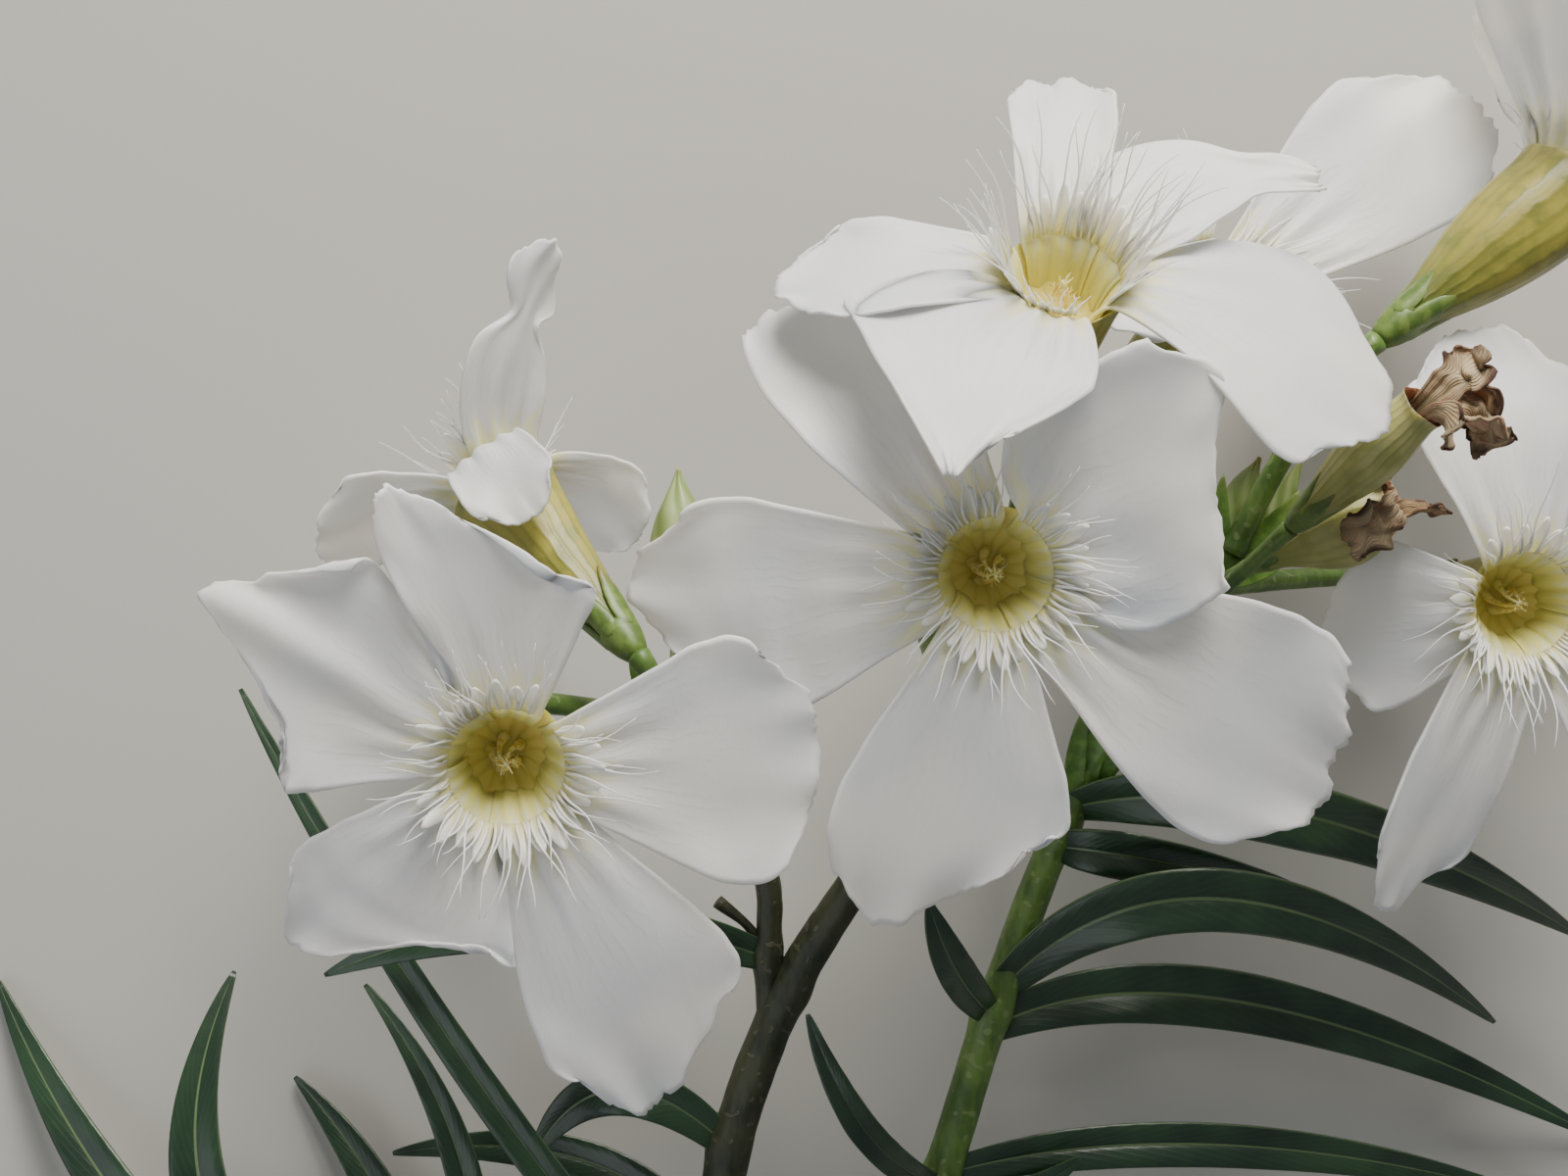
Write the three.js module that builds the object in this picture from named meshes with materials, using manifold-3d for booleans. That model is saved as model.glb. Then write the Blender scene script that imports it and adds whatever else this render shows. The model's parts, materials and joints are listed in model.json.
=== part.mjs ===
// A cut flowering branch of a white single oleander, in millimetres, +Z up.
// The branch lies on its back on the plane z = 0, so its blooms look up. +Y runs from the
// cut end of the main stem to the flower heads, and +X lies to the right seen from above.
import * as THREE from "three";
import { mergeVertices } from "three/addons/utils/BufferGeometryUtils.js";
import Module from "manifold-3d";

const wasm = await Module();
wasm.setup();

// Driving dimensions.
const CLEARANCE = 0.3; // left between two pieces that meet
const LIMB_STEP = 5; // length of one straight stretch of a stem
const FINENESS = 0.04; // how far a face may move where small faces are merged
const PETAL = {
  thickness: 0.45,
  rows: 5,
  columns: 4,
  strides: 8, // the short steps that a petal's bent middle line is summed from
  clawWidth: 7, // at the root
  widening: 1.3, // above 1 keeps it slim for longer
  waistReach: 0.13, // how far along the petal a waist is felt
  rootRadius: 4.5,
  rootDepth: 0.9,
};
// What a petal has where its row says nothing else.
const PLAIN_PETAL = {
  sweep: 0,
  twist: 0,
  tip: [0.78, 0.96, 1, 0.96, 0.78],
  cup: 0.06,
  broadest: 0.78,
  narrowing: 0.14,
  sides: [1, 1],
  waist: { at: 0.5, share: 0 },
};
const LEAF = {
  thickness: 0.8,
  rows: 8,
  columns: 2,
  petiole: 1.5, // width at the root
  point: 0.7, // width at the tip
  heel: 0.04, // how far along its lance shape the leaf starts
  lean: 0.85, // below 1 moves the widest place towards the root
  fullness: 0.8, // below 1 fills the ends of the lance shape
  keel: 0.16, // lift of the margins, as a share of the width
};
const THROAT = {
  mouth: 5.1, // radius of the mouth
  rise: 0.2, // the mouth's edge over the petals' roots
  lip: { radius: 4.4, depth: 4.2 },
  belly: { radius: 3.2, depth: 9.9 },
  neck: { radius: 2.1, depth: 16.5 },
  foot: 1.5,
  length: 21,
  bore: 12, // depth of the open funnel
  wall: 0.7,
  sides: 10,
};
const CORONA = { threads: 8, length: 7, root: 0.45, lean: 38, depth: 0.6, sides: 3 };
const STAMENS = { radius: 1.5, height: 8.5, depth: 6.8, sides: 6 };
const CALYX = { foot: 1.3, mouth: 2.8, depth: 2.3, rim: 1.5 };
const SEPALS = { count: 5, length: 5, root: 0.75, lean: -6, inset: 0.45, sunk: 0.6, sides: 4 };
const PEDICEL = {
  lower: 0.95, // radius at the stem
  upper: 0.85, // radius at the calyx
  straight: 0.35, // share of its run that points straight at the calyx
  slack: 0.4,
  sides: 6,
};
const BUD = { sides: 6, step: 2.5 };
const COLOURS = {
  petal: 0xf2f1ec,
  calyx: 0x7f8f3a,
  greenStem: 0x5d8a35,
  oldStem: 0x4a4f33,
  leaf: 0x2f5a2c,
  bud: 0xc9d39a,
  withered: 0x8a6a48,
};

// Where the stems run: the middle line, and the radius from the lower end to the upper end.
const STEMS = {
  stem_main: {
    line: [[-6, -122, 3.2], [-3, -100, 3.6], [1, -80, 6.2]],
    radii: [3.0, 2.9, 2.7],
    skin: "oldStem",
  },
  stem_left: {
    line: [
      [0.8, -81.5, 6],
      [-5.5, -68, 9],
      [-5.3, -52.6, 12],
      [0, -36.3, 15],
      [5.1, -27.3, 18],
      [12.6, -16, 21],
    ],
    radii: [2.1, 2.0, 1.9, 1.8, 1.6, 1.3],
    skin: "oldStem",
    onto: ["stem_main"],
  },
  stem_right: {
    line: [
      [0.8, -81, 6],
      [8, -68, 11],
      [13.9, -52.1, 14],
      [18.2, -38, 15],
      [22.3, -25.7, 17],
      [27.1, -13.6, 19],
    ],
    radii: [1.8, 1.75, 1.7, 1.6, 1.5, 1.3],
    skin: "greenStem",
    onto: ["stem_main", "stem_left"],
  },
  stem_leafy: {
    line: [[-4.6, -112, 3.4], [-18, -95, 5], [-34, -74, 6.4]],
    radii: [1.6, 1.4, 1.1],
    skin: "greenStem",
    onto: ["stem_main"],
  },
  side_shoot: {
    line: [[-1.2, -40, 14], [-1.4, -33, 15.6], [-1.6, -25, 17.5], [-8.4, -13.4, 22]],
    radii: [1.15, 1.1, 1.05, 0.95],
    skin: "oldStem",
    onto: ["stem_left"],
  },
  head_left: {
    line: [[-8.9, -12.7, 22.4], [-10.5, -10, 25.5]],
    radii: [1.15, 1.2],
    skin: "greenStem",
    onto: ["side_shoot"],
  },
  head_middle: {
    line: [[13, -15.3, 21.3], [16.6, -6.6, 24]],
    radii: [1.3, 1.35],
    skin: "greenStem",
    onto: ["stem_left"],
  },
  head_right: {
    line: [[27.5, -12.8, 19.3], [34.3, -1.7, 22], [38.2, 2.9, 24]],
    radii: [1.35, 1.35, 1.4],
    skin: "greenStem",
    onto: ["stem_right"],
  },
};

// The blooms. at is the middle of the throat's mouth and face the way it looks. A petal
// stands at turn degrees round the throat, leans forward by rise degrees at its root and by
// fall degrees at its tip, turns sideways by sweep and rolls by twist on the way, and its
// margins lift by cup of its half width. tip gives how far its end reaches, from its left
// margin to its right one, as a share of its length. It is broadest at that share of its
// length, then loses narrowing of its width, and sides makes its halves fuller or slimmer.
// A waist takes its share of the width away near one place along the petal.
const BLOOMS = {
  middle: {
    at: [15.4, 0.8, 55],
    face: [0.05, -0.12, 1],
    stalk: { from: "head_middle", start: [14.6, -9, 23.4] },
    petals: [
      {
        turn: 124, length: 21.5, width: 13.5, rise: 0, fall: -38, tip: [0.95, 0.99, 0.93, 0.85, 0.72],
        cup: 0.1,
      },
      {
        turn: 31, length: 14.5, width: 20, rise: 20, fall: 0, tip: [0.9, 1.14, 0.93, 0.79, 0.66],
        broadest: 0.35, narrowing: 0.05, sides: [1.02, 0.92],
      },
      { turn: -31, length: 25, width: 18, rise: 4, fall: -14, tip: [0.86, 0.98, 1.03, 1.02, 0.85] },
      { turn: -100, length: 21, width: 17.5, rise: 4, fall: -12, tip: [0.66, 0.86, 1, 1.1, 0.92] },
      {
        turn: -174, length: 22.5, width: 15, rise: -2, fall: -24, tip: [0.62, 0.85, 1, 0.98, 0.8],
        sides: [1.25, 1],
      },
    ],
  },
  left: {
    at: [-19.6, -13, 57],
    face: [0.12, -0.15, 1],
    stalk: { from: "head_left", start: [-10.6, -11, 24.6] },
    petals: [
      {
        turn: 97, length: 18.5, width: 13, rise: 14, fall: 0, tip: [0.9, 1, 0.93, 0.62, 0.38],
        cup: 0.12, sweep: 30, broadest: 0.75, narrowing: 0.2, sides: [0.65, 1.3],
      },
      {
        turn: 150, length: 20.3, width: 17, rise: 14, fall: -20, tip: [0.43, 0.6, 0.98, 0.84, 0.6],
        cup: 0.15,
      },
      {
        turn: -135, length: 14.8, width: 16, rise: 4, fall: -14, tip: [0.38, 0.6, 1, 1.03, 0.76],
        sides: [1.3, 0.8],
      },
      {
        turn: -65, length: 23.6, width: 15.5, rise: 4, fall: -12, tip: [0.74, 0.86, 1, 1, 0.78],
        sides: [1.2, 0.85],
      },
      {
        turn: 4, length: 18, width: 17.5, rise: 8, fall: -8, tip: [0.78, 0.97, 1, 0.97, 0.85],
        cup: 0.1, sides: [1, 1.08],
      },
    ],
  },
  top: {
    at: [20.5, 24, 53],
    face: [0.05, 0.64, 0.77],
    stalk: { from: "head_middle", start: [16.5, -6.9, 24.1] },
    petals: [
      {
        turn: 88, length: 15.5, width: 9, rise: 18, fall: -6, tip: [0.86, 1, 0.98, 1, 0.86],
        cup: 0.12, broadest: 0.9, sides: [0.75, 1.1],
      },
      { turn: 184, length: 17, width: 10, rise: 8, fall: -14, tip: [0.8, 0.95, 1, 0.9, 0.7], cup: 0.1 },
      {
        turn: -116, length: 17.5, width: 19, rise: 4, fall: -16, tip: [0.84, 0.93, 1, 1, 1], cup: 0,
        broadest: 0.4, narrowing: 0.93, sides: [0.62, 1.35],
      },
      {
        turn: -15, length: 21.8, width: 18, rise: -4, fall: -38, tip: [0.84, 1.04, 1.08, 0.98, 0.76],
        cup: -0.08, sides: [1.15, 1.18],
      },
      {
        turn: 40, length: 18.5, width: 11, rise: 14, fall: -8, tip: [1, 1, 1, 1, 1], cup: 0.1,
        sweep: -40, broadest: 0.3, narrowing: 0.75, sides: [1.1, 0.75],
        waist: { at: 0.72, share: 0.3 },
      },
    ],
  },
  right: {
    at: [60.1, -1.5, 34],
    face: [0.1, -0.1, 1],
    stalk: { from: "head_right", start: [36.2, 0.2, 22.4] },
    petals: [
      {
        turn: 188, length: 12, width: 14.5, rise: -20, fall: -28, tip: [0.8, 0.98, 1, 0.9, 0.7],
        cup: 0.02,
      },
      { turn: -113, length: 23, width: 11, rise: 4, fall: -12, cup: 0.1, twist: 40 },
      { turn: 99, length: 19, width: 15, rise: -4, fall: -32 },
      { turn: 30, length: 20, width: 16, rise: 8, fall: -12, cup: 0.1 },
      { turn: -42, length: 20, width: 16, rise: 6, fall: -12, cup: 0.1 },
    ],
  },
  back_left: {
    at: [-24.9, 9.9, 23],
    face: [-0.57, 0.66, -0.49],
    stalk: { from: "head_left", start: [-10.9, -9.9, 25.6] },
    petals: [
      {
        turn: 65, length: 18, width: 9, rise: 14, fall: 36, tip: [0.8, 0.95, 1, 0.95, 0.8], cup: 0.15,
        sweep: 70, broadest: 0.3, narrowing: 0.1, waist: { at: 0.66, share: 0.6 },
      },
      { turn: 182, length: 11, width: 10, rise: -20, fall: -60 },
      { turn: 232, length: 16, width: 14, rise: 24, fall: 10, cup: 0.1 },
      { turn: 38, length: 10.5, width: 8, rise: -60, fall: -125, cup: 0.1 },
      { turn: -34, length: 12, width: 12, rise: 10, fall: 5, cup: 0.1 },
    ],
  },
  behind_top: {
    at: [38.5, 27, 24],
    face: [0.5, 0.58, 0.65],
    stalk: { from: "head_middle", start: [16.8, -8.6, 22.8] },
    petals: [
      {
        turn: 24, length: 25.5, width: 18, rise: 42, fall: 28, tip: [0.8, 1.04, 1.06, 1.06, 0.92],
        sides: [0.9, 0.9],
      },
      { turn: 118, length: 10, width: 10, rise: 0, fall: -40, cup: 0.08 },
      { turn: 190, length: 12, width: 11, rise: 0, fall: -30, cup: 0.08 },
      { turn: 262, length: 10, width: 10, rise: 0, fall: -30, cup: 0.08 },
      { turn: -38, length: 10, width: 10, rise: 0, fall: -30, cup: 0.08 },
    ],
  },
  top_right: {
    at: [66.4, 34.1, 28],
    face: [0.78, 0.6, -0.16],
    stalk: { from: "head_right", start: [37.8, 3.3, 25.2] },
    petals: [
      { turn: 104, length: 18, width: 18, rise: 26, fall: 10, tip: [0.9, 1.05, 0.9, 1, 0.8], cup: 0.1 },
      { turn: 190, length: 16, width: 14, rise: 20, fall: 0, cup: 0.1 },
      { turn: 262, length: 17, width: 14, rise: 10, fall: 0, cup: 0.1 },
      { turn: -26, length: 13, width: 12, rise: 44, fall: 20, cup: 0.1 },
      { turn: 46, length: 17, width: 13, rise: 40, fall: 20, cup: 0.1 },
    ],
  },
};

// Two spent blooms. They are smaller, and their petals are narrow, rolled and bent.
const WITHERED = {
  upper: {
    at: [49.3, 14.8, 46.2],
    face: [0.55, 0.6, 0.58],
    size: 0.72,
    stalk: { from: "head_right", start: [31.8, -5.5, 21.2] },
    petals: [
      {
        turn: 22, length: 8, width: 7, rise: 60, fall: 40, tip: [0.5, 0.75, 1, 0.9, 0.7], cup: 0.2,
        sweep: 20, twist: 20,
      },
      { turn: 0, length: 8, width: 6, rise: 40, fall: -60, cup: 0.3, sweep: -60, twist: -60 },
      { turn: -50, length: 9, width: 6, rise: 40, fall: -60, cup: 0.3, sweep: 50, twist: 70 },
      { turn: 250, length: 5, width: 5, rise: 50, fall: -40, cup: 0.3, sweep: -40, twist: 60 },
    ],
  },
  lower: {
    at: [49.8, 7.7, 35.8],
    face: [0.78, 0.4, 0.47],
    size: 0.64,
    stalk: { from: "head_right", start: [38.2, 0.8, 22.8] },
    petals: [
      { turn: -40, length: 5, width: 6, rise: 60, fall: 20, cup: 0.3, twist: 40 },
      { turn: 205, length: 8.5, width: 6, rise: -20, fall: -100, cup: 0.3, sweep: -10 },
      { turn: 120, length: 5, width: 6, rise: 20, fall: -70, cup: 0.3, sweep: 60, twist: 40 },
    ],
  },
};

// Buds: the middle line from the root to the point, and the radius along it.
const BUDS = {
  left: {
    line: [[-9.4, -10.6, 25.2], [-8.9, -3, 26], [-8.8, 4, 26.3], [-8.8, 9.8, 26.5]],
    radii: [0.6, 0.6, 0.7, 2.1, 1.8, 0.35],
    from: "head_left",
  },
  right_1: {
    line: [[36.8, 1.8, 23.4], [38, 6.5, 23.6], [40, 11, 25]],
    radii: [0.5, 1.1, 1.4, 0.9, 0.3],
    from: "head_right",
  },
  right_2: {
    line: [[38, 2.6, 23.6], [41.5, 6.2, 22.6], [43.8, 10.8, 23.5]],
    radii: [0.5, 1.0, 1.25, 0.9, 0.3],
    from: "head_right",
  },
  middle: {
    line: [[13.8, -12, 23.2], [12, -3, 28], [9, 2, 33]],
    radii: [0.5, 0.7, 1.3, 1.1, 0.3],
    from: "head_middle",
  },
};

// Leaves, by the stem that bears them: root, the point that bends the middle line, tip, full
// width, and for some a roll in degrees.
const LEAVES = {
  stem_right: {
    right_1: { root: [19, -35.5, 15], bend: [32.6, -15, 36], tip: [65, -39.7, 7], width: 5.6, roll: 10 },
    right_2: { root: [18, -39, 14.6], bend: [36, -29, 16], tip: [77, -52, 0.8], width: 5.4, roll: -10 },
    right_3: { root: [18.2, -37.5, 15.4], bend: [14, -33, 24], tip: [12, -26, 27], width: 3.4 },
    right_4: { root: [14, -52, 14], bend: [36, -45, 16], tip: [71, -57.5, 0.8], width: 4 },
    right_5: { root: [13, -54.5, 13.6], bend: [20, -55, 16], tip: [26, -50, 16], width: 2.6 },
    right_6: { root: [13.6, -52.8, 14.4], bend: [6, -48, 25], tip: [2, -36, 24], width: 2.8 },
    right_7: { root: [23.6, -22.5, 17.6], bend: [28, -22, 25], tip: [46.5, -27, 12], width: 4.2, roll: 10 },
    right_8: { root: [25, -19, 18.2], bend: [40, -13, 37], tip: [72, -31.5, 10], width: 6, roll: 20 },
  },
  stem_left: {
    left_1: { root: [-1.3, -77, 7], bend: [-25.5, -47.5, 24], tip: [-47.7, -8.9, 16], width: 3.2 },
    left_2: { root: [-4.8, -50, 12.6], bend: [-16, -38, 17], tip: [-23, -52, 9], width: 4.4 },
    left_3: { root: [-6, -60.5, 10], bend: [-16, -49, 4], tip: [-36, -52, 6], width: 4 },
  },
  side_shoot: {
    left_4: { root: [-1.4, -32.5, 15.7], bend: [-20, -24, 27], tip: [-39.5, -33.3, 20], width: 4.6 },
  },
  stem_leafy: {
    low_1: { root: [-34.2, -73.8, 6.6], bend: [-58, -58, 24], tip: [-48.7, -34, 14], width: 5.4 },
    low_2: { root: [-30.4, -79, 6.4], bend: [-22, -54, 14], tip: [-38, -36, 9], width: 3.4 },
    low_3: { root: [-32.6, -76, 5.8], bend: [-32, -60, 4], tip: [-46, -46, 1], width: 4.4 },
    low_4: { root: [-31, -78.8, 6], bend: [-58, -69, 8], tip: [-74, -37, 0.8], width: 6 },
    low_5: { root: [-26.6, -85, 5.6], bend: [-52, -82, 7], tip: [-77, -56, 0.8], width: 6 },
  },
  stem_main: {
    main_1: { root: [-3, -99, 4.4], bend: [18, -99, 20], tip: [44, -82, 0.8], width: 7 },
    main_2: { root: [-4, -101, 4.4], bend: [-22, -116, 12], tip: [-50, -104, 0.8], width: 7 },
  },
};

// Turns a closed geometry into a solid, and a solid back into a geometry.
function solidFrom(geometry) {
  const bare = geometry.clone();
  bare.deleteAttribute("normal");
  bare.deleteAttribute("uv");
  const merged = mergeVertices(bare, 1e-4);
  const corners = merged.index.array;
  const kept = [];
  for (let i = 0; i < corners.length; i += 3) {
    const [a, b, c] = [corners[i], corners[i + 1], corners[i + 2]];
    if (a !== b && b !== c && c !== a) kept.push(a, b, c);
  }
  const vertProperties = merged.attributes.position.array;
  const triVerts = new Uint32Array(kept);
  return new wasm.Manifold(new wasm.Mesh({ numProp: 3, vertProperties, triVerts }));
}

function geometryFrom(solid) {
  const { numProp, numVert, vertProperties, triVerts } = solid.getMesh();
  const places = new Float32Array(numVert * 3);
  for (let i = 0; i < numVert; i++) {
    places.set(vertProperties.subarray(i * numProp, i * numProp + 3), i * 3);
  }
  const geometry = new THREE.BufferGeometry();
  geometry.setAttribute("position", new THREE.BufferAttribute(places, 3));
  geometry.setIndex(new THREE.BufferAttribute(new Uint32Array(triVerts), 1));
  geometry.computeVertexNormals();
  return geometry;
}

function joined(solids) {
  return solids.reduce((whole, next) => whole.add(next));
}

function biggestPiece(solid) {
  return solid.decompose().reduce((a, b) => (b.volume() > a.volume() ? b : a));
}

// Moves every vertex of a geometry to the place that the function gives for it.
function reshaped(geometry, placeOf) {
  const places = geometry.attributes.position;
  const vertex = new THREE.Vector3();
  for (let i = 0; i < places.count; i++) {
    vertex.fromBufferAttribute(places, i);
    const moved = placeOf(vertex);
    places.setXYZ(i, moved.x, moved.y, moved.z);
  }
  return geometry;
}

const UP = new THREE.Vector3(0, 0, 1); // away from the floor
const FORWARD = new THREE.Vector3(0, 0, 1); // in a bloom's frame, the way it looks
const vector = (xyz) => new THREE.Vector3(...xyz);
const radians = THREE.MathUtils.degToRad;

function between(values, t) {
  const place = THREE.MathUtils.clamp(t, 0, 1) * (values.length - 1);
  const before = Math.min(Math.floor(place), values.length - 2);
  return THREE.MathUtils.lerp(values[before], values[before + 1], place - before);
}

// A rod bent along a curve, with a radius that changes on the way.
function limb(curve, radii, { sides = 8, grow = 0, step = LIMB_STEP } = {}) {
  const steps = Math.max(3, Math.ceil(curve.getLength() / step));
  const frames = curve.computeFrenetFrames(steps, false);
  const rod = new THREE.CylinderGeometry(1, 1, 1, sides, steps);
  reshaped(rod, (v) => {
    const t = THREE.MathUtils.clamp(v.y + 0.5, 0, 1);
    const ring = Math.round(t * steps);
    const radius = between(radii, t) + grow;
    return curve
      .getPointAt(ring / steps)
      .addScaledVector(frames.binormals[ring], v.x * radius)
      .addScaledVector(frames.normals[ring], v.z * radius);
  });
  return solidFrom(rod);
}

function curveThrough(line) {
  return new THREE.CatmullRomCurve3(line.map(vector), false, "centripetal");
}

// A thin box bent into a blade. surfaceAt gives the middle face for s, 0 at the root and 1 at
// the tip, and q, -1 to 1 across.
function blade(surfaceAt, rows, columns, thickness) {
  const slab = new THREE.BoxGeometry(2, 1, 1, columns, rows, 1);
  const nudge = 1e-3;
  reshaped(slab, (v) => {
    const s = THREE.MathUtils.clamp(v.y + 0.5, nudge, 1 - nudge);
    const q = THREE.MathUtils.clamp(v.x, -1 + nudge, 1 - nudge);
    const along = surfaceAt(s + nudge, q).sub(surfaceAt(s - nudge, q));
    const across = surfaceAt(s, q + nudge).sub(surfaceAt(s, q - nudge));
    const out = across.cross(along).normalize();
    return surfaceAt(v.y + 0.5, v.x).addScaledVector(out, v.z * thickness);
  });
  return solidFrom(slab);
}

// Half the width of a petal on the side of q, s along it.
function petalHalfWidth(petal, s, q) {
  const { clawWidth, widening } = PETAL;
  const { width, broadest, narrowing, sides, waist } = petal;
  const full = width * (q < 0 ? sides[0] : sides[1]);
  const past = Math.max(0, s - broadest) / (1 - broadest);
  const spread = Math.sin((Math.PI / 2) * Math.min(1, s / broadest)) ** widening;
  const kept = 1 - narrowing * past ** (2 - narrowing);
  const pinched = 1 - waist.share * Math.exp(-(((s - waist.at) / PETAL.waistReach) ** 2));
  return ((clawWidth + (full * kept - clawWidth) * spread) / 2) * pinched;
}

// The middle face of a petal, in its bloom's frame: +Z out of the throat.
function petalSurface(row) {
  const petal = { ...PLAIN_PETAL, ...row };
  const { turn, length, rise, fall, sweep, twist, tip, cup } = petal;
  return (s, q) => {
    const full = between(tip, (q + 1) / 2);
    const late = Math.min(2, full / Math.max(1 - full, 0.1));
    const reach = s * (1 + (full - 1) * s ** late);
    const stride = reach / PETAL.strides;
    const place = new THREE.Vector3(PETAL.rootRadius, 0, -PETAL.rootDepth);
    place.applyAxisAngle(FORWARD, radians(turn));
    const along = new THREE.Vector3();
    let heading = 0;
    for (let i = 0; i < PETAL.strides; i++) {
      const t = stride * (i + 0.5);
      const lean = radians(rise + (fall - rise) * t);
      heading = radians(turn + sweep * t);
      along.set(Math.cos(heading), Math.sin(heading), Math.tan(lean)).normalize();
      place.addScaledVector(along, length * stride);
    }
    const side = new THREE.Vector3(Math.sin(heading), -Math.cos(heading), 0);
    const out = side.clone().cross(along);
    const roll = radians(-twist * reach);
    const half = petalHalfWidth(petal, s, q);
    const lift = cup * half * q * q * Math.min(1, 2 * s);
    return place
      .addScaledVector(side.applyAxisAngle(along, roll), q * half)
      .addScaledVector(out.applyAxisAngle(along, roll), lift);
  };
}

// A solid of revolution on +Z, from radius and depth below the throat's mouth.
function turned(profile) {
  const points = profile.map(([radius, depth]) => new THREE.Vector2(radius, -depth));
  return solidFrom(new THREE.LatheGeometry(points, THROAT.sides).rotateX(Math.PI / 2));
}

// The outer face of the corolla's tube, from its foot to the mouth.
function tubeProfile(grow = 0) {
  const { mouth, rise, lip, belly, neck, foot, length } = THROAT;
  return [
    [foot + grow, length],
    [neck.radius + grow, neck.depth],
    [belly.radius + grow, belly.depth],
    [lip.radius + grow, lip.depth],
    [mouth + grow, -rise],
  ];
}

// The tube and throat of a corolla: a funnel that is open at its mouth.
function funnel() {
  const { mouth, rise, lip, belly, bore, length, wall } = THROAT;
  const inside = [
    [mouth - wall, -rise],
    [lip.radius - wall, lip.depth],
    [belly.radius - wall, belly.depth],
    [0, bore],
  ];
  return turned([[0, length], ...tubeProfile(), ...inside]);
}

// The long threads that stand round the throat, and the cone of stamens in it.
function corona() {
  const threads = [];
  for (let i = 0; i < CORONA.threads; i++) {
    const thread = new THREE.ConeGeometry(CORONA.root, CORONA.length, CORONA.sides)
      .translate(0, CORONA.length / 2, 0)
      .rotateZ(-radians(CORONA.lean))
      .rotateX(Math.PI / 2)
      .translate(THROAT.mouth - THROAT.wall, 0, -CORONA.depth)
      .rotateZ((2 * Math.PI * i) / CORONA.threads);
    threads.push(solidFrom(thread));
  }
  const stamens = new THREE.ConeGeometry(STAMENS.radius, STAMENS.height, STAMENS.sides)
    .rotateX(Math.PI / 2)
    .translate(0, 0, -STAMENS.depth);
  return joined([...threads, solidFrom(stamens)]);
}

function corolla(petals, spent) {
  const { rows, columns, thickness } = PETAL;
  const blades = petals.map((petal) => blade(petalSurface(petal), rows, columns, thickness));
  const middle = spent ? [funnel()] : [funnel(), corona()];
  return biggestPiece(joined([...middle, ...blades])).simplify(FINENESS);
}

// The green cup that holds the tube's foot, with its five pointed sepals.
function calyx() {
  const { foot, mouth, depth, rim } = CALYX;
  const { length } = THROAT;
  const cup = turned([
    [0, length + depth],
    [foot, length + depth],
    [mouth, length],
    [mouth, length - rim],
    [0, length - rim],
  ]);
  const points = [];
  for (let i = 0; i < SEPALS.count; i++) {
    const sepal = new THREE.ConeGeometry(SEPALS.root, SEPALS.length, SEPALS.sides)
      .translate(0, SEPALS.length / 2, 0)
      .rotateZ(radians(SEPALS.lean))
      .rotateX(Math.PI / 2)
      .translate(mouth - SEPALS.inset, 0, rim - SEPALS.sunk - length)
      .rotateZ((2 * Math.PI * i) / SEPALS.count);
    points.push(solidFrom(sepal));
  }
  const tube = turned([
    [0, length + CLEARANCE],
    [THROAT.foot + CLEARANCE, length + CLEARANCE],
    ...tubeProfile(CLEARANCE),
    [0, -THROAT.rise],
  ]);
  return biggestPiece(joined([cup, ...points]).subtract(tube)).simplify(FINENESS);
}

// The middle face of a leaf: lance-shaped, folded a little along its middle line.
function leafSurface({ root, bend, tip, width, roll = 0 }) {
  const line = new THREE.QuadraticBezierCurve3(vector(root), vector(bend), vector(tip));
  return (s, q) => {
    const t = THREE.MathUtils.clamp(s, 0, 1);
    const along = line.getTangent(t);
    const side = along.clone().cross(UP).normalize().applyAxisAngle(along, radians(roll));
    const out = side.clone().cross(along);
    const started = LEAF.heel + (1 - LEAF.heel) * t;
    const lance = Math.max(0, Math.sin(Math.PI * started ** LEAF.lean)) ** LEAF.fullness;
    const ends = THREE.MathUtils.lerp(LEAF.petiole, LEAF.point, t);
    const half = (ends + (width - ends) * lance) / 2;
    return line
      .getPoint(t)
      .addScaledVector(along, line.getLength() * (s - t))
      .addScaledVector(side, q * half)
      .addScaledVector(out, LEAF.keel * 2 * half * Math.abs(q) * lance);
  };
}

const finish = (colour, roughness) =>
  new THREE.MeshStandardMaterial({ color: colour, roughness, metalness: 0, side: THREE.DoubleSide });
const MATERIALS = {
  petal: finish(COLOURS.petal, 0.55),
  calyx: finish(COLOURS.calyx, 0.5),
  greenStem: finish(COLOURS.greenStem, 0.5),
  oldStem: finish(COLOURS.oldStem, 0.75),
  leaf: finish(COLOURS.leaf, 0.45),
  bud: finish(COLOURS.bud, 0.5),
  withered: finish(COLOURS.withered, 0.85),
};

const branch = new THREE.Group();
const grown = {};

function addPiece(name, solid, material, parent = branch) {
  const mesh = new THREE.Mesh(geometryFrom(solid), MATERIALS[material]);
  mesh.name = name;
  parent.add(mesh);
}

// A bloom's frame: +Z the way it looks, +Y as near to the branch's own +Y as that allows.
function bloomFrame({ at, face }) {
  const out = vector(face).normalize();
  const up = new THREE.Vector3(0, 1, 0).addScaledVector(out, -out.y).normalize();
  const right = up.clone().cross(out);
  const frame = new THREE.Group();
  frame.quaternion.setFromRotationMatrix(new THREE.Matrix4().makeBasis(right, up, out));
  frame.position.copy(vector(at));
  return frame;
}

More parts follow.
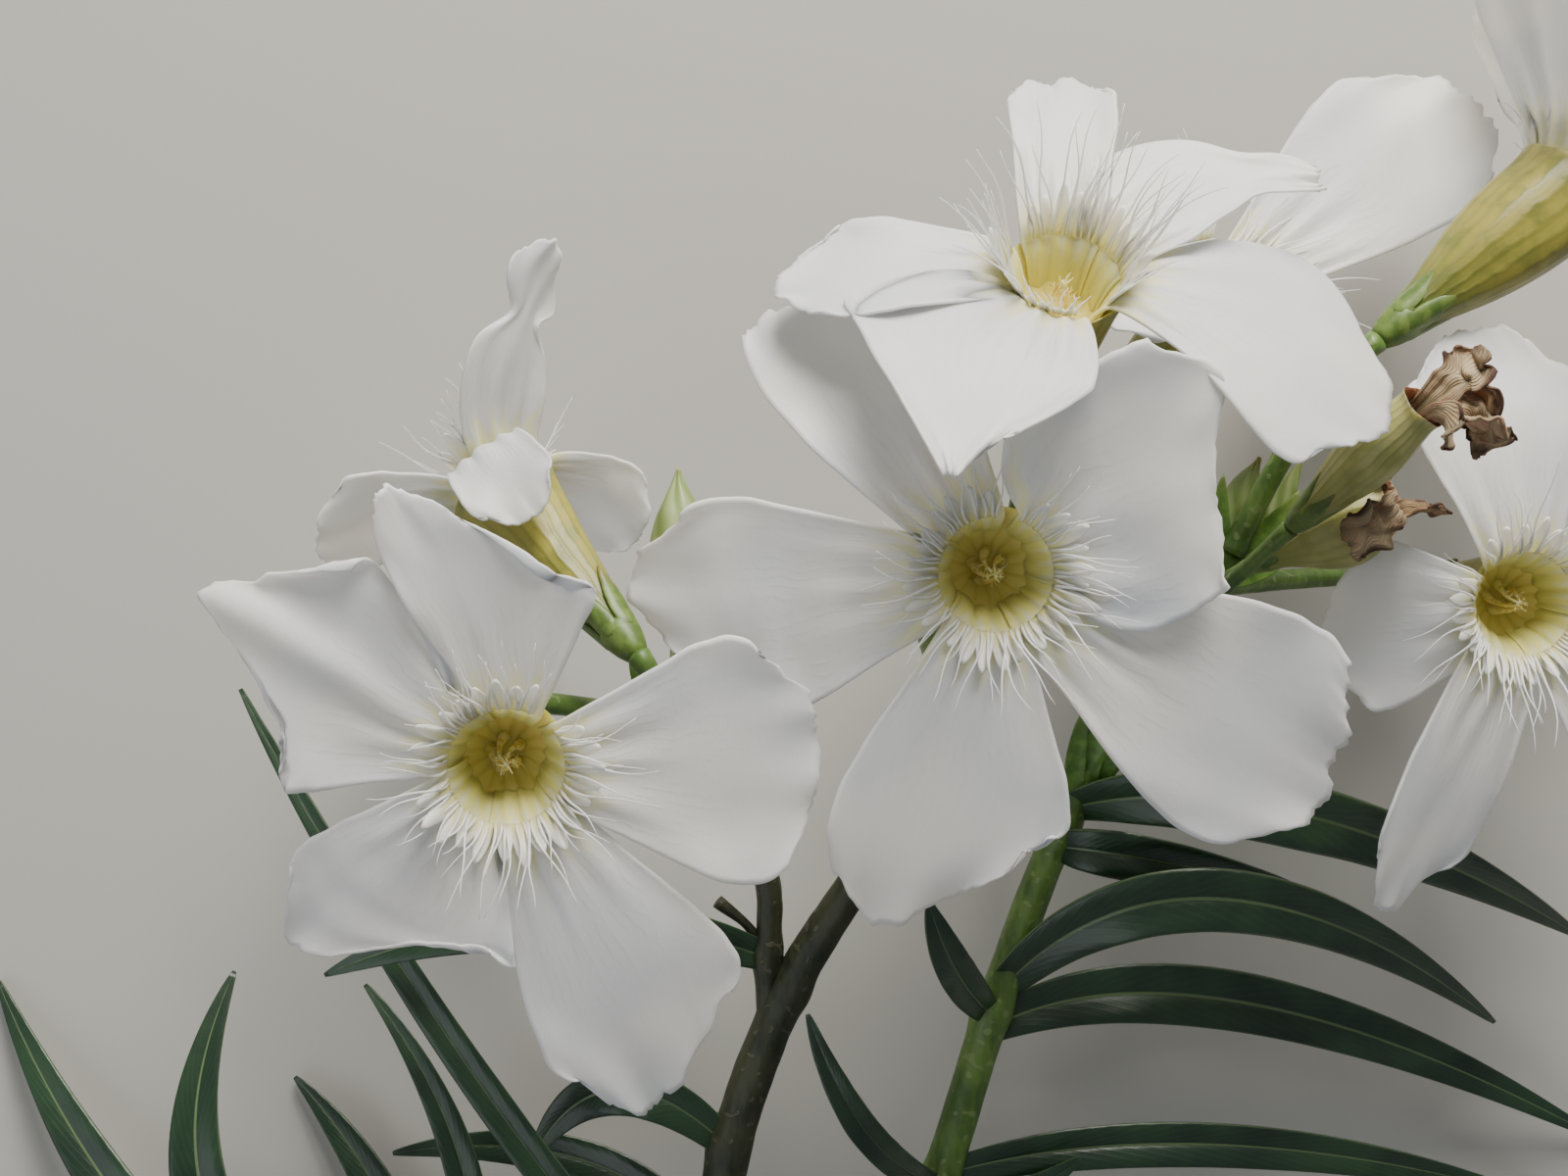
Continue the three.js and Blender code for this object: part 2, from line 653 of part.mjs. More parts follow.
// A pedicel from its stem to the foot of a calyx, which it meets square.
function pedicel({ at, face, size = 1, stalk }) {
  const out = vector(face).normalize();
  const reach = size * (THROAT.length + CALYX.depth) + CLEARANCE;
  const end = vector(at).addScaledVector(out, -reach);
  const start = vector(stalk.start);
  const before = end.clone().addScaledVector(out, -PEDICEL.straight * start.distanceTo(end));
  const after = start.clone().lerp(before, PEDICEL.slack);
  const curve = new THREE.CubicBezierCurve3(start, after, before, end);
  const radii = [PEDICEL.lower * size, PEDICEL.upper * size];
  const rod = limb(curve, radii, { sides: PEDICEL.sides });
  return biggestPiece(rod.subtract(grown[stalk.from]));
}

function addBloom(name, bloom, skin) {
  const { size = 1 } = bloom;
  const scaled = (solid) => solid.scale([size, size, size]);
  const frame = bloomFrame(bloom);
  branch.add(frame);
  addPiece(`bloom_${name}`, scaled(corolla(bloom.petals, skin === "withered")), skin, frame);
  addPiece(`calyx_${name}`, scaled(calyx()), "calyx", frame);
  addPiece(`pedicel_${name}`, pedicel(bloom), "greenStem");
}

for (const [name, stem] of Object.entries(STEMS)) {
  const curve = curveThrough(stem.line);
  let solid = limb(curve, stem.radii);
  for (const neighbour of stem.onto ?? []) solid = solid.subtract(grown[neighbour]);
  grown[name] = limb(curve, stem.radii, { grow: CLEARANCE });
  addPiece(name, biggestPiece(solid), stem.skin);
}

for (const [name, bloom] of Object.entries(BLOOMS)) addBloom(name, bloom, "petal");
for (const [name, bloom] of Object.entries(WITHERED)) addBloom(`spent_${name}`, bloom, "withered");

for (const [name, bud] of Object.entries(BUDS)) {
  const solid = limb(curveThrough(bud.line), bud.radii, BUD);
  addPiece(`bud_${name}`, biggestPiece(solid.subtract(grown[bud.from])), "bud");
}

for (const [stem, leaves] of Object.entries(LEAVES)) {
  for (const [name, leaf] of Object.entries(leaves)) {
    const solid = blade(leafSurface(leaf), LEAF.rows, LEAF.columns, LEAF.thickness);
    addPiece(`leaf_${name}`, biggestPiece(solid.subtract(grown[stem])), "leaf");
  }
}

// The part's origin is the middle of the floor area that the branch takes up.
const box = new THREE.Box3().setFromObject(branch, true);
const middle = box.getCenter(new THREE.Vector3());
branch.position.set(-middle.x, -middle.y, -box.min.z);

const part = new THREE.Group();
part.add(branch);
export default part;
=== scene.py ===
# %% [markdown]
# # A cut flowering branch of white oleander
#
# A branch that was cut from a garden shrub lies on its back on a pale floor, with its white
# blooms looking up at a camera that looks straight down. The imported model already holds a
# plain solid for every stem, leaf, stalk, calyx and bloom. This lesson grows a finer piece
# over each of them, in the same place: bark with ridges, leathery leaves with a pale midrib,
# thin ruffled petals that let light through, and the long threads round each throat.

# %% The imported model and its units
import json
import math
import random
from dataclasses import dataclass

import bmesh
import bpy
from mathutils import Matrix, Vector, noise


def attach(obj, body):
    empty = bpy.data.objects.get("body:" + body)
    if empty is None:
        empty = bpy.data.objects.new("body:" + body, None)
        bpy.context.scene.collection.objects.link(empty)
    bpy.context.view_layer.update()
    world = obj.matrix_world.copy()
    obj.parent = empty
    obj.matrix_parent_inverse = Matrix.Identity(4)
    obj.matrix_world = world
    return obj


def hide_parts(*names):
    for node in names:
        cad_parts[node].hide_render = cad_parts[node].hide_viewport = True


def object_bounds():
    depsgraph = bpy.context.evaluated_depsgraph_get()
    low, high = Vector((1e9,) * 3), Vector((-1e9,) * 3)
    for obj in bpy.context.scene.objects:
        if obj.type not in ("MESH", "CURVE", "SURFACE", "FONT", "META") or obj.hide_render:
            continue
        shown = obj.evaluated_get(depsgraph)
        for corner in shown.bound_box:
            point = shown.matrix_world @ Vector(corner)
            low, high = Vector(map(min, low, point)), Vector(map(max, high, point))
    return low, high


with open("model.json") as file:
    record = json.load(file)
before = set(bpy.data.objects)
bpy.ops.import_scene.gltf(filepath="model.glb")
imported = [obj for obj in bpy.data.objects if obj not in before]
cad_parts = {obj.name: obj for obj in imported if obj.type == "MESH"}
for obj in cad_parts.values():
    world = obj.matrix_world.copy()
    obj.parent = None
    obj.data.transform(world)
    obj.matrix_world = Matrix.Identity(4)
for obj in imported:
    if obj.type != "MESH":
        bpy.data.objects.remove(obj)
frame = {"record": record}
cad_low, cad_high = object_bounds()
MM = 0.001
print("the branch is", [round(size, 3) for size in cad_high - cad_low], "metres")

# %% [markdown]
# ## One place for everything
#
# The tables below give places in millimetres, counted from the middle of the view. The packed
# model counts metres from the middle of the floor area. The middle of the branch's cut end is
# known in both, so it ties them together, and one matrix carries every finished mesh over.

# %% From the tables' millimetres to the model's metres
CUT_END = Vector((-6, -122, 3.2))
cut_in_model = Vector(frame["record"]["mounts"][0]["pos_m"])
TO_MODEL = Matrix.Translation(cut_in_model - CUT_END * MM) @ Matrix.Scale(MM, 4)
FLOOR_LEVEL = cad_low.z

# %% [markdown]
# ## Camera
#
# The camera hangs above the middle of the view. At the height of the nearest blooms, 170 mm
# below it, the picture is 112 mm wide, and the lens follows from those two numbers.

# %% The camera
VIEW_WIDTH = 112
CAMERA_HEIGHT = 225
NEAREST_BLOOMS = 55

lens = bpy.data.cameras.new("camera")
lens.sensor_width = 36
lens.lens = lens.sensor_width * (CAMERA_HEIGHT - NEAREST_BLOOMS) / VIEW_WIDTH
lens.clip_start = 0.01
camera = bpy.data.objects.new("camera", lens)
camera.location = TO_MODEL @ Vector((0, 0, CAMERA_HEIGHT))
bpy.context.scene.collection.objects.link(camera)
bpy.context.scene.camera = camera
print("the lens is", round(lens.lens, 1), "mm")

# %% [markdown]
# ## Light
#
# Petals show their form only where light comes from one side, and they glow where it passes
# through them. A big soft lamp stands beyond the flower heads and low enough to graze them,
# a weaker one fills the shade from the other side, and a grey world lifts the rest.

# %% The lamps and the world
def lamp(name, place, aim, size, power, colour):
    data = bpy.data.lights.new(name, "AREA")
    data.size = size
    data.energy = power
    data.color = colour
    made = bpy.data.objects.new(name, data)
    made.location = place
    made.rotation_euler = (Vector(aim) - Vector(place)).to_track_quat("-Z", "Y").to_euler()
    bpy.context.scene.collection.objects.link(made)


lamp("key", (0.10, 0.46, 0.26), (0.0, 0.03, 0.03), 0.26, 6.0, (1.0, 0.95, 0.88))
lamp("fill", (-0.4, -0.3, 0.4), (0.0, 0.0, 0.0), 0.5, 1.0, (0.9, 0.95, 1.0))

world = bpy.data.worlds.new("studio")
world.use_nodes = True
world.node_tree.nodes["Background"].inputs["Color"].default_value = (0.9, 0.94, 1.0, 1.0)
world.node_tree.nodes["Background"].inputs["Strength"].default_value = 0.22
bpy.context.scene.world = world

# %% [markdown]
# ## Materials written as sums
#
# A material is a tree of nodes. Its arithmetic could be wired by hand, but a pattern such as
# the veins of a petal reads better as a sum. `Value` holds one output of a node, and Python's
# signs add the Math nodes. `Finish` is the material itself, with one method for all other
# nodes and short ones for what every material here needs.

# %% Value and Finish
class Value:
    """One output of a node. Sums with it add Math nodes to its material."""

    def __init__(self, finish, socket):
        self.finish = finish
        self.socket = socket

    def sum(self, operation, *terms):
        settings = {"operation": operation}
        return self.finish.node("ShaderNodeMath", settings, dict(enumerate(terms)))

    def __add__(self, other):
        return self.sum("ADD", self, other)

    def __sub__(self, other):
        return self.sum("SUBTRACT", self, other)

    def __rsub__(self, other):
        return self.sum("SUBTRACT", other, self)

    def __mul__(self, other):
        return self.sum("MULTIPLY", self, other)

    def __pow__(self, other):
        return self.sum("POWER", self, other)

    def __abs__(self):
        return self.sum("ABSOLUTE", self)

    __radd__ = __add__
    __rmul__ = __mul__

    def sine(self):
        return self.sum("SINE", self)

    def ramp(self, start, end):
        """0 up to start, 1 from end, and smooth in between. End may be the smaller one."""
        rising = start < end
        sockets = {0: self, 1: min(start, end), 2: max(start, end), 3: 0.0, 4: 1.0}
        kind = {"interpolation_type": "SMOOTHSTEP"}
        smooth = self.finish.node("ShaderNodeMapRange", kind, sockets)
        return smooth if rising else 1 - smooth


class Finish:
    """A material that is built up node by node."""

    def __init__(self, name):
        self.material = bpy.data.materials.new(name)
        self.material.use_nodes = True
        self.nodes = self.material.node_tree.nodes
        self.shader = self.nodes["Principled BSDF"]

    def node(self, kind, settings=None, sockets=None, output=0):
        """A new node: its settings are set first, and then its sockets are filled or linked."""
        made = self.nodes.new(kind)
        for name, value in (settings or {}).items():
            setattr(made, name, value)
        for key, value in (sockets or {}).items():
            self.fill(made.inputs[key], value)
        return Value(self, made.outputs[output])

    def fill(self, socket, value):
        if isinstance(value, Value):
            self.material.node_tree.links.new(value.socket, socket)
        else:
            socket.default_value = value

    def set(self, **sockets):
        """Fills the shader's own sockets: base_color stands for Base Color."""
        for name, value in sockets.items():
            self.fill(self.shader.inputs[name.replace("_", " ").title()], value)

    def mix(self, share, first, second):
        """The first colour where share is 0 and the second one where it is 1."""
        return self.node("ShaderNodeMix", {"data_type": "RGBA"}, {0: share, 6: first, 7: second}, 2)

    def blotches(self, scale, detail=3.0, stretch=(1, 1, 1)):
        """Cloudy noise from 0 to 1, its scale in blotches for each metre."""
        place = self.node("ShaderNodeTexCoord", output=3)
        drawn = self.node("ShaderNodeMapping", None, {0: place, 3: stretch})
        return self.node("ShaderNodeTexNoise", None, {"Vector": drawn, "Scale": scale, "Detail": detail})

    def across_and_along(self):
        """A piece's own UV map: 0 to 1 across it, and 0 to 1 from its root to its tip."""
        flat = self.node("ShaderNodeUVMap", {"uv_map": UV_NAME})
        parts = self.node("ShaderNodeSeparateXYZ", None, {0: flat})
        return parts, Value(self, parts.socket.node.outputs[1])

    def relief(self, height, depth_mm, strength=1.0):
        """Turns a height from 0 to 1 into bumps of that depth."""
        sockets = {"Height": height, "Distance": depth_mm * MM, "Strength": strength}
        self.set(normal=self.node("ShaderNodeBump", None, sockets))


def rgb(red, green, blue):
    return (red, green, blue, 1.0)


UV_NAME = "across_and_along"

# %% [markdown]
# ## The floor
#
# The floor is a wide sheet that carries no pattern, only a faint cloudiness. It is a shade
# darker than the petals, so that their white edges stand out from it.

# %% The floor
FLOOR_WIDTH = 6.0


def floor_finish():
    finish = Finish("floor")
    clouded = finish.mix(finish.blotches(6), rgb(0.43, 0.42, 0.385), rgb(0.48, 0.47, 0.435))
    finish.set(base_color=clouded, roughness=0.85)
    return finish.material


ground = bmesh.new()
bmesh.ops.create_grid(ground, x_segments=1, y_segments=1, size=FLOOR_WIDTH / 2)
bmesh.ops.translate(ground, vec=(0, 0, FLOOR_LEVEL), verts=ground.verts)
floor_mesh = bpy.data.meshes.new("floor")
ground.to_mesh(floor_mesh)
ground.free()
floor_mesh.materials.append(floor_finish())
floor = bpy.data.objects.new("floor", floor_mesh)
bpy.context.scene.collection.objects.link(floor)

# %% [markdown]
# ## Sheets and skins from one grid
#
# A petal, a leaf and the bark of a stem have one thing in common: each is a sheet that has
# been bent. So every piece starts as a flat grid, whose corners are then moved to their
# places by a rule. The grid first writes where each corner was into a UV map, because the
# materials want to know how far across and along the piece they are. A sheet whose two long
# sides meet becomes a skin, once the doubled corners are merged.

# %% Sheets, skins and pieces
def sheet(columns, rows, place_of, finish=0):
    """A grid bent by a rule that gives the place of what lies so far across and along it."""
    bent = bmesh.new()
    flat = bent.loops.layers.uv.new(UV_NAME)
    bmesh.ops.create_grid(bent, x_segments=columns, y_segments=rows, size=0.5)
    middle = Vector((0.5, 0.5))
    for face in bent.faces:
        face.material_index = finish
        face.smooth = True
        for loop in face.loops:
            loop[flat].uv = loop.vert.co.xy + middle
    for corner in bent.verts:
        corner.co = place_of(corner.co.x + 0.5, corner.co.y + 0.5)
    return bent


def skin(columns, rows, place_of, finish=0):
    """A sheet rolled up until its sides meet, and closed where its ends shrink to a point."""
    rolled = sheet(columns, rows, place_of, finish)
    bmesh.ops.remove_doubles(rolled, verts=rolled.verts, dist=1e-4)
    return rolled


def piece(name, parts, finishes, stands_for=None, wall=0.0):
    """Joins bent sheets into one object in the model's place. A wall makes them that thick."""
    whole = bmesh.new()
    for part in parts:
        if not wall:
            bmesh.ops.recalc_face_normals(part, faces=part.faces)
        mesh = bpy.data.meshes.new(name)
        part.to_mesh(mesh)
        part.free()
        whole.from_mesh(mesh)
        bpy.data.meshes.remove(mesh)
    bmesh.ops.transform(whole, matrix=TO_MODEL, verts=whole.verts)
    mesh = bpy.data.meshes.new(name)
    whole.to_mesh(mesh)
    whole.free()
    for finish in finishes:
        mesh.materials.append(finish)
    made = bpy.data.objects.new(name, mesh)
    bpy.context.scene.collection.objects.link(made)
    if wall:
        thick = made.modifiers.new("wall", "SOLIDIFY")
        thick.thickness = wall * MM
        thick.offset = 0
        thick.use_even_offset = False
        thick.material_offset = len(finishes) - 1
    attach(made, "root")
    if stands_for:
        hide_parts(stands_for)
    return made


def between(values, t):
    """Runs smoothly through evenly spaced values as t goes from 0 to 1."""
    spot = min(max(t, 0), 1) * (len(values) - 1)
    i = min(int(spot), len(values) - 2)
    before, here, there = values[max(i - 1, 0)], values[i], values[i + 1]
    after = values[min(i + 2, len(values) - 1)]
    x = spot - i
    bend = 2 * before - 5 * here + 4 * there - after
    twist = 3 * (here - there) + after - before
    return here + 0.5 * x * (there - before + x * (bend + x * twist))


def waver(point, size, seed=0.0):
    """Smooth noise from -1 to 1, whose swells are about size apart."""
    return noise.noise(Vector(point) / size + Vector((seed, 7.3 * seed, 3.1 * seed)))


# %% [markdown]
# ## Stems
#
# A stem is a limb: a skin round a curve through a few points, with a radius that falls on the
# way up. Rings that are simply turned to face along a curve can spin against each other, so
# each ring takes its direction from the one before, turned no further than the curve bends.
# Old stems carry lengthwise ridges and pale specks, and each node, where leaves sit, swells.

# %% Curves and limbs
def curve_through(points, step):
    """Points a step apart on the smooth curve through a stem's points."""
    points = [Vector(point) for point in points]
    padded = [2 * points[0] - points[1], *points, 2 * points[-1] - points[-2]]
    path = []
    for before, here, there, after in zip(padded, padded[1:], padded[2:], padded[3:]):
        first = math.sqrt((here - before).length)
        second = math.sqrt((there - here).length)
        third = math.sqrt((after - there).length)
        leave = (here - before) / first - (there - before) / (first + second) + (there - here) / second
        reach = (there - here) / second - (after - here) / (second + third) + (after - there) / third
        count = max(2, round((there - here).length / step))
        leave, reach = leave * second, reach * second
        for i in range(count):
            x = i / count
            bend = 3 * (there - here) - 2 * leave - reach
            twist = 2 * (here - there) + leave + reach
            path.append(here + x * (leave + x * (bend + x * twist)))
    return [*path, points[-1]]


def frames_along(path):
    """For each point of a path: the point, and two directions square to it there."""
    frames = []
    side = None
    for i, point in enumerate(path):
        along = (path[min(i + 1, len(path) - 1)] - path[max(i - 1, 0)]).normalized()
        side = along.orthogonal() if side is None else side - along * side.dot(along)
        side.normalize()
        frames.append((point, side.copy(), along.cross(side)))
    return frames


def limb(path, radii, sides=20, swell=None, finish=0):
    """A skin round a path. swell gives what a place on it adds to its radius."""
    frames = frames_along(path)
    rows = len(path) + 1

    def place_of(across, along):
        ring = round(along * rows)
        spot = min(max(ring - 1, 0), len(path) - 1)
        point, side, up = frames[spot]
        if ring in (0, rows):
            return point
        turn = 2 * math.pi * across
        outward = side * math.cos(turn) + up * math.sin(turn)
        radius = between(radii, spot / (len(path) - 1))
        place = point + outward * radius
        return place + outward * swell(place, turn, spot / (len(path) - 1)) if swell else place

    return skin(sides, rows, place_of, finish)


# %% [markdown]
# The old stem's skin is olive-brown and matt, streaked along the stem. The younger stems are
# green and smoother. Both finishes read Object coordinates, stretched along +Y, because that is
# the way most of the branch runs.

# %% Bark and green stem finishes
def stem_finish(name, dark, light, specks_colour, roughness, depth):
    finish = Finish(name)
    patches = finish.blotches(240)
    grain = finish.blotches(1500, 4, stretch=(1, 0.3, 1))
    specks = finish.blotches(1300, 0).ramp(0.68, 0.74)
    tone = (patches * 0.6 + grain * 0.4).ramp(0.36, 0.62)
    plain = finish.mix(tone, dark, light)
    finish.set(base_color=finish.mix(specks * 0.4, plain, specks_colour), roughness=roughness)
    finish.relief(grain * 0.6 + specks * 0.4, depth)
    return finish.material


old_stem = stem_finish(
    "old_stem", rgb(0.016, 0.020, 0.009), rgb(0.046, 0.052, 0.022), rgb(0.13, 0.12, 0.07), 0.55, 0.12
)
green_stem = stem_finish(
    "green_stem", rgb(0.055, 0.115, 0.020), rgb(0.120, 0.215, 0.040), rgb(0.26, 0.32, 0.12), 0.42, 0.05
)

# %% [markdown]
# ## Where the stems run
#
# The main stem forks into an old left stem and a green right one. The short side shoot, the
# leafy lower stem and the three heads that the blooms hang on grow out of those. Each row of
# the table holds the points a stem runs through, its radii on the way, and its material slot.

# %% The stems
STEMS = {
    "stem_main": ([(-6, -122, 3.2), (-3, -100, 3.6), (1, -80, 6.2)], [3.0, 2.9, 2.7], "old_stem"),
    "stem_left": (
        [
            (0.8, -81.5, 6), (-5.5, -68, 9), (-5.3, -52.6, 12),
            (0, -36.3, 15), (5.1, -27.3, 18), (12.6, -16, 21),
        ],
        [2.1, 2.0, 1.9, 1.8, 1.6, 1.3],
        "old_stem",
    ),
    "stem_right": (
        [
            (0.8, -81, 6), (8, -68, 11), (13.9, -52.1, 14),
            (18.2, -38, 15), (22.3, -25.7, 17), (27.1, -13.6, 19),
        ],
        [1.8, 1.75, 1.7, 1.6, 1.5, 1.3],
        "green_stem",
    ),
    "stem_leafy": ([(-4.6, -112, 3.4), (-18, -95, 5), (-34, -74, 6.4)], [1.6, 1.4, 1.1], "green_stem"),
    "side_shoot": (
        [(-1.2, -40, 14), (-1.4, -33, 15.6), (-1.6, -25, 17.5), (-8.4, -13.4, 22)],
        [1.15, 1.1, 1.05, 0.95],
        "old_stem",
    ),
    "head_left": ([(-8.9, -12.7, 22.4), (-10.5, -10, 25.5)], [1.15, 1.2], "green_stem"),
    "head_middle": ([(13, -15.3, 21.3), (16.6, -6.6, 24)], [1.3, 1.35], "green_stem"),
    "head_right": (
        [(27.5, -12.8, 19.3), (34.3, -1.7, 22), (38.2, 2.9, 24)],
        [1.35, 1.35, 1.4],
        "green_stem",
    ),
}
NODES = {
    "stem_main": [(-3.4, -100, 4)],
    "stem_left": [(-1.8, -75.6, 7.6), (-5.8, -61, 10.4), (-5.1, -50, 12.6), (0.6, -35.6, 15.4)],
    "stem_right": [(13.5, -53, 14), (18.3, -37.5, 15), (24.4, -21, 17.8)],
    "stem_leafy": [(-32, -76.6, 6.2), (-28, -82, 6)],
    "side_shoot": [(-1.4, -32.5, 15.7), (-8, -14, 21.8)],
    "head_left": [(-10.4, -10.6, 25)],
    "head_middle": [(15.4, -9.4, 23.2)],
    "head_right": [(36.9, 1.6, 23.4)],
}
NODE_SWELL = 0.32
NODE_REACH = 1.7
RIDGES = 7
OLD_RIDGE = 0.05
GREEN_RIDGE = 0.03
RIDGE_WANDERS = 18
FINE_BUMPS = 0.07
FINE_SIZE = 1.6
BROAD_BUMPS = 0.08
BROAD_SIZE = 5
GREEN_BUMPS_SHARE = 0.4


def bark_of(name, old):
    """What a stem's skin adds to its radius: swollen nodes, ridges and small unevenness."""
    nodes = [Vector(node) for node in NODES[name]]

    def swell(place, turn, along):
        near = sum(math.exp(-((place - node).length / NODE_REACH) ** 2) for node in nodes)
        height = OLD_RIDGE if old else GREEN_RIDGE
        ridge = math.sin(RIDGES * turn + 2 * waver(place, RIDGE_WANDERS)) * height
        rough = waver(place, FINE_SIZE) * FINE_BUMPS + waver(place, BROAD_SIZE) * BROAD_BUMPS
        return NODE_SWELL * min(1, near * 2) + ridge + (rough if old else rough * GREEN_BUMPS_SHARE)

    return swell


STEM_STEP = 0.45
STEM_SIDES = 28
for name, (line, radii, skin_name) in STEMS.items():
    old = skin_name == "old_stem"
    rod = limb(curve_through(line, STEM_STEP), radii, STEM_SIDES, bark_of(name, old))
    piece(name, [rod], [old_stem if old else green_stem], name)
print("stems:", len(STEMS))

# %% [markdown]
# ## Leaves
#
# An oleander leaf is a narrow, leathery lance with a pale midrib. Its two halves are lifted a
# little like an open book, its margins roll under, and it bends under its own weight. The grid
# runs along the leaf. Its middle columns sink into a groove, which stands out as the rib below,
# and the wall comes last. The second finish goes on the lower side, which is paler.

# %% Leaf finishes
def leaf_finish(name, deep, fresh, rib_colour, roughness, gloss):
    finish = Finish(name)
    across, along = finish.across_and_along()
    off_middle = abs(across - 0.5)
    rib = off_middle.ramp(0.05, 0.018)
    veins = abs((along * 75 - off_middle * 26).sine()) ** 8
    margin = off_middle.ramp(0.47, 0.495)
    cloud = finish.blotches(130)
    grain = finish.blotches(2600, 2)
    blade = finish.mix(cloud.ramp(0.35, 0.65), deep, fresh)
    veined = finish.mix(veins * 0.035, blade, rib_colour)
    edged = finish.mix(margin * 0.35, veined, rib_colour)
    finish.set(base_color=finish.mix(rib * 0.75, edged, rib_colour), roughness=roughness)
    finish.set(coat_weight=gloss, coat_roughness=0.28)
    finish.relief(grain * 0.4 + veins * 0.25 + rib * 0.35, 0.04)
    return finish.material


leaf_upper = leaf_finish(
    "leaf_upper", rgb(0.008, 0.027, 0.012), rgb(0.018, 0.052, 0.020), rgb(0.15, 0.22, 0.09), 0.38, 0.3
)
leaf_lower = leaf_finish(
    "leaf_lower", rgb(0.05, 0.11, 0.045), rgb(0.08, 0.155, 0.065), rgb(0.26, 0.33, 0.14), 0.6, 0.0
)

# %% [markdown]
# Each row of the table holds a leaf's root, the point it bends towards, its tip, its width, and
# how many degrees it is rolled round its own run.

# %% Leaves
LEAVES = {
    "right_1": ((19, -35.5, 15), (32.6, -15, 36), (65, -39.7, 7), 5.6, 10),
    "right_2": ((18, -39, 14.6), (36, -29, 16), (77, -52, 0.8), 5.4, -10),
    "right_3": ((18.2, -37.5, 15.4), (14, -33, 24), (12, -26, 27), 3.4, 0),
    "right_4": ((14, -52, 14), (36, -45, 16), (71, -57.5, 0.8), 4, 0),
    "right_5": ((13, -54.5, 13.6), (20, -55, 16), (26, -50, 16), 2.6, 0),
    "right_6": ((13.6, -52.8, 14.4), (6, -48, 25), (2, -36, 24), 2.8, 0),
    "right_7": ((23.6, -22.5, 17.6), (28, -22, 25), (46.5, -27, 12), 4.2, 10),
    "right_8": ((25, -19, 18.2), (40, -13, 37), (72, -31.5, 10), 6, 20),
    "left_1": ((-1.3, -77, 7), (-25.5, -47.5, 24), (-47.7, -8.9, 16), 3.2, 0),
    "left_2": ((-4.8, -50, 12.6), (-16, -38, 17), (-23, -52, 9), 4.4, 0),
    "left_3": ((-6, -60.5, 10), (-16, -49, 4), (-36, -52, 6), 4, 0),
    "left_4": ((-1.4, -32.5, 15.7), (-20, -24, 27), (-39.5, -33.3, 20), 4.6, 0),
    "low_1": ((-34.2, -73.8, 6.6), (-58, -58, 24), (-48.7, -34, 14), 5.4, 0),
    "low_2": ((-30.4, -79, 6.4), (-22, -54, 14), (-38, -36, 9), 3.4, 0),
    "low_3": ((-32.6, -76, 5.8), (-32, -60, 4), (-46, -46, 1), 4.4, 0),
    "low_4": ((-31, -78.8, 6), (-58, -69, 8), (-74, -37, 0.8), 6, 0),
    "low_5": ((-26.6, -85, 5.6), (-52, -82, 7), (-77, -56, 0.8), 6, 0),
    "main_1": ((-3, -99, 4.4), (18, -99, 20), (44, -82, 0.8), 7, 0),
    "main_2": ((-4, -101, 4.4), (-22, -116, 12), (-50, -104, 0.8), 7, 0),
}
PETIOLE = 1.5
POINT = 0.35
LEAF_KEEL = 0.16
LEAF_WALL = 0.38
LANCE_START = 0.04
LANCE_SKEW = 0.85
LANCE_FULLNESS = 0.8
MARGIN_ROLLS = 0.12
MARGIN_FROM = 0.7
GROOVE_DEPTH = 0.10
GROOVE_REACH = 0.09
LEAF_WAVE = 0.28
WAVES_ALONG = 9
UP = Vector((0, 0, 1))


def leaf_sheet(root, bend, tip, width, roll, seed, columns=16, rows=90):
    """One leaf blade: a lance along a curve that bends once, folded along its middle."""
    root, bend, tip = Vector(root), Vector(bend), Vector(tip)

    def place_of(across, along):
        q = 2 * across - 1
        middle = root * (1 - along) ** 2 + bend * (2 * along * (1 - along)) + tip * along**2
        ahead = ((bend - root) * (1 - along) + (tip - bend) * along).normalized()
        side = (Matrix.Rotation(math.radians(roll), 3, ahead) @ ahead.cross(UP)).normalized()
        out = side.cross(ahead)
        skewed = (LANCE_START + (1 - LANCE_START) * along) ** LANCE_SKEW
        lance = max(0.0, math.sin(math.pi * skewed)) ** LANCE_FULLNESS
        ends = PETIOLE + (POINT - PETIOLE) * along
        half = (ends + (width - ends) * lance) / 2
        keel = LEAF_KEEL * 2 * half * abs(q) * lance
        rolled_under = MARGIN_ROLLS * half * max(0, abs(q) - MARGIN_FROM) / (1 - MARGIN_FROM) * lance
        groove = GROOVE_DEPTH * lance * math.exp(-((q / GROOVE_REACH) ** 2))
        wave = LEAF_WAVE * q**2 * waver((WAVES_ALONG * along, q, 0), 1.0, seed) * lance
        return middle + side * q * half + out * (keel - rolled_under - groove + wave)

    return sheet(columns, rows, place_of)


for i, (name, leaf) in enumerate(LEAVES.items()):
    node = f"leaf_{name}"
    piece(node, [leaf_sheet(*leaf, seed=i)], [leaf_upper, leaf_lower], node, LEAF_WALL)
print("leaves:", len(LEAVES))

# %% [markdown]
# ## Blooms
#
# A single oleander bloom is a funnel with five petals round its mouth. Each bloom is built
# lying flat, looking up along +Z, and one matrix then stands it where it belongs. The petals
# differ a lot: one leans towards the viewer, the next is thrown back, a third is bent down at
# its tip. So each petal has its own values: the angle it stands at, its length and width, how
# it leans at its root and its tip, and how far each fifth of its end reaches. It also has how
# it is cupped, twisted and swept to a side, where it is broadest and how much it narrows from
# there, how its two sides differ, how its margins curl, where it has a fold or a waist, how
# wrinkled it is, and how long the fringe at its foot is.

# %% What a petal and a bloom are
ROUND_TIP = (0.78, 0.96, 1, 0.96, 0.78)


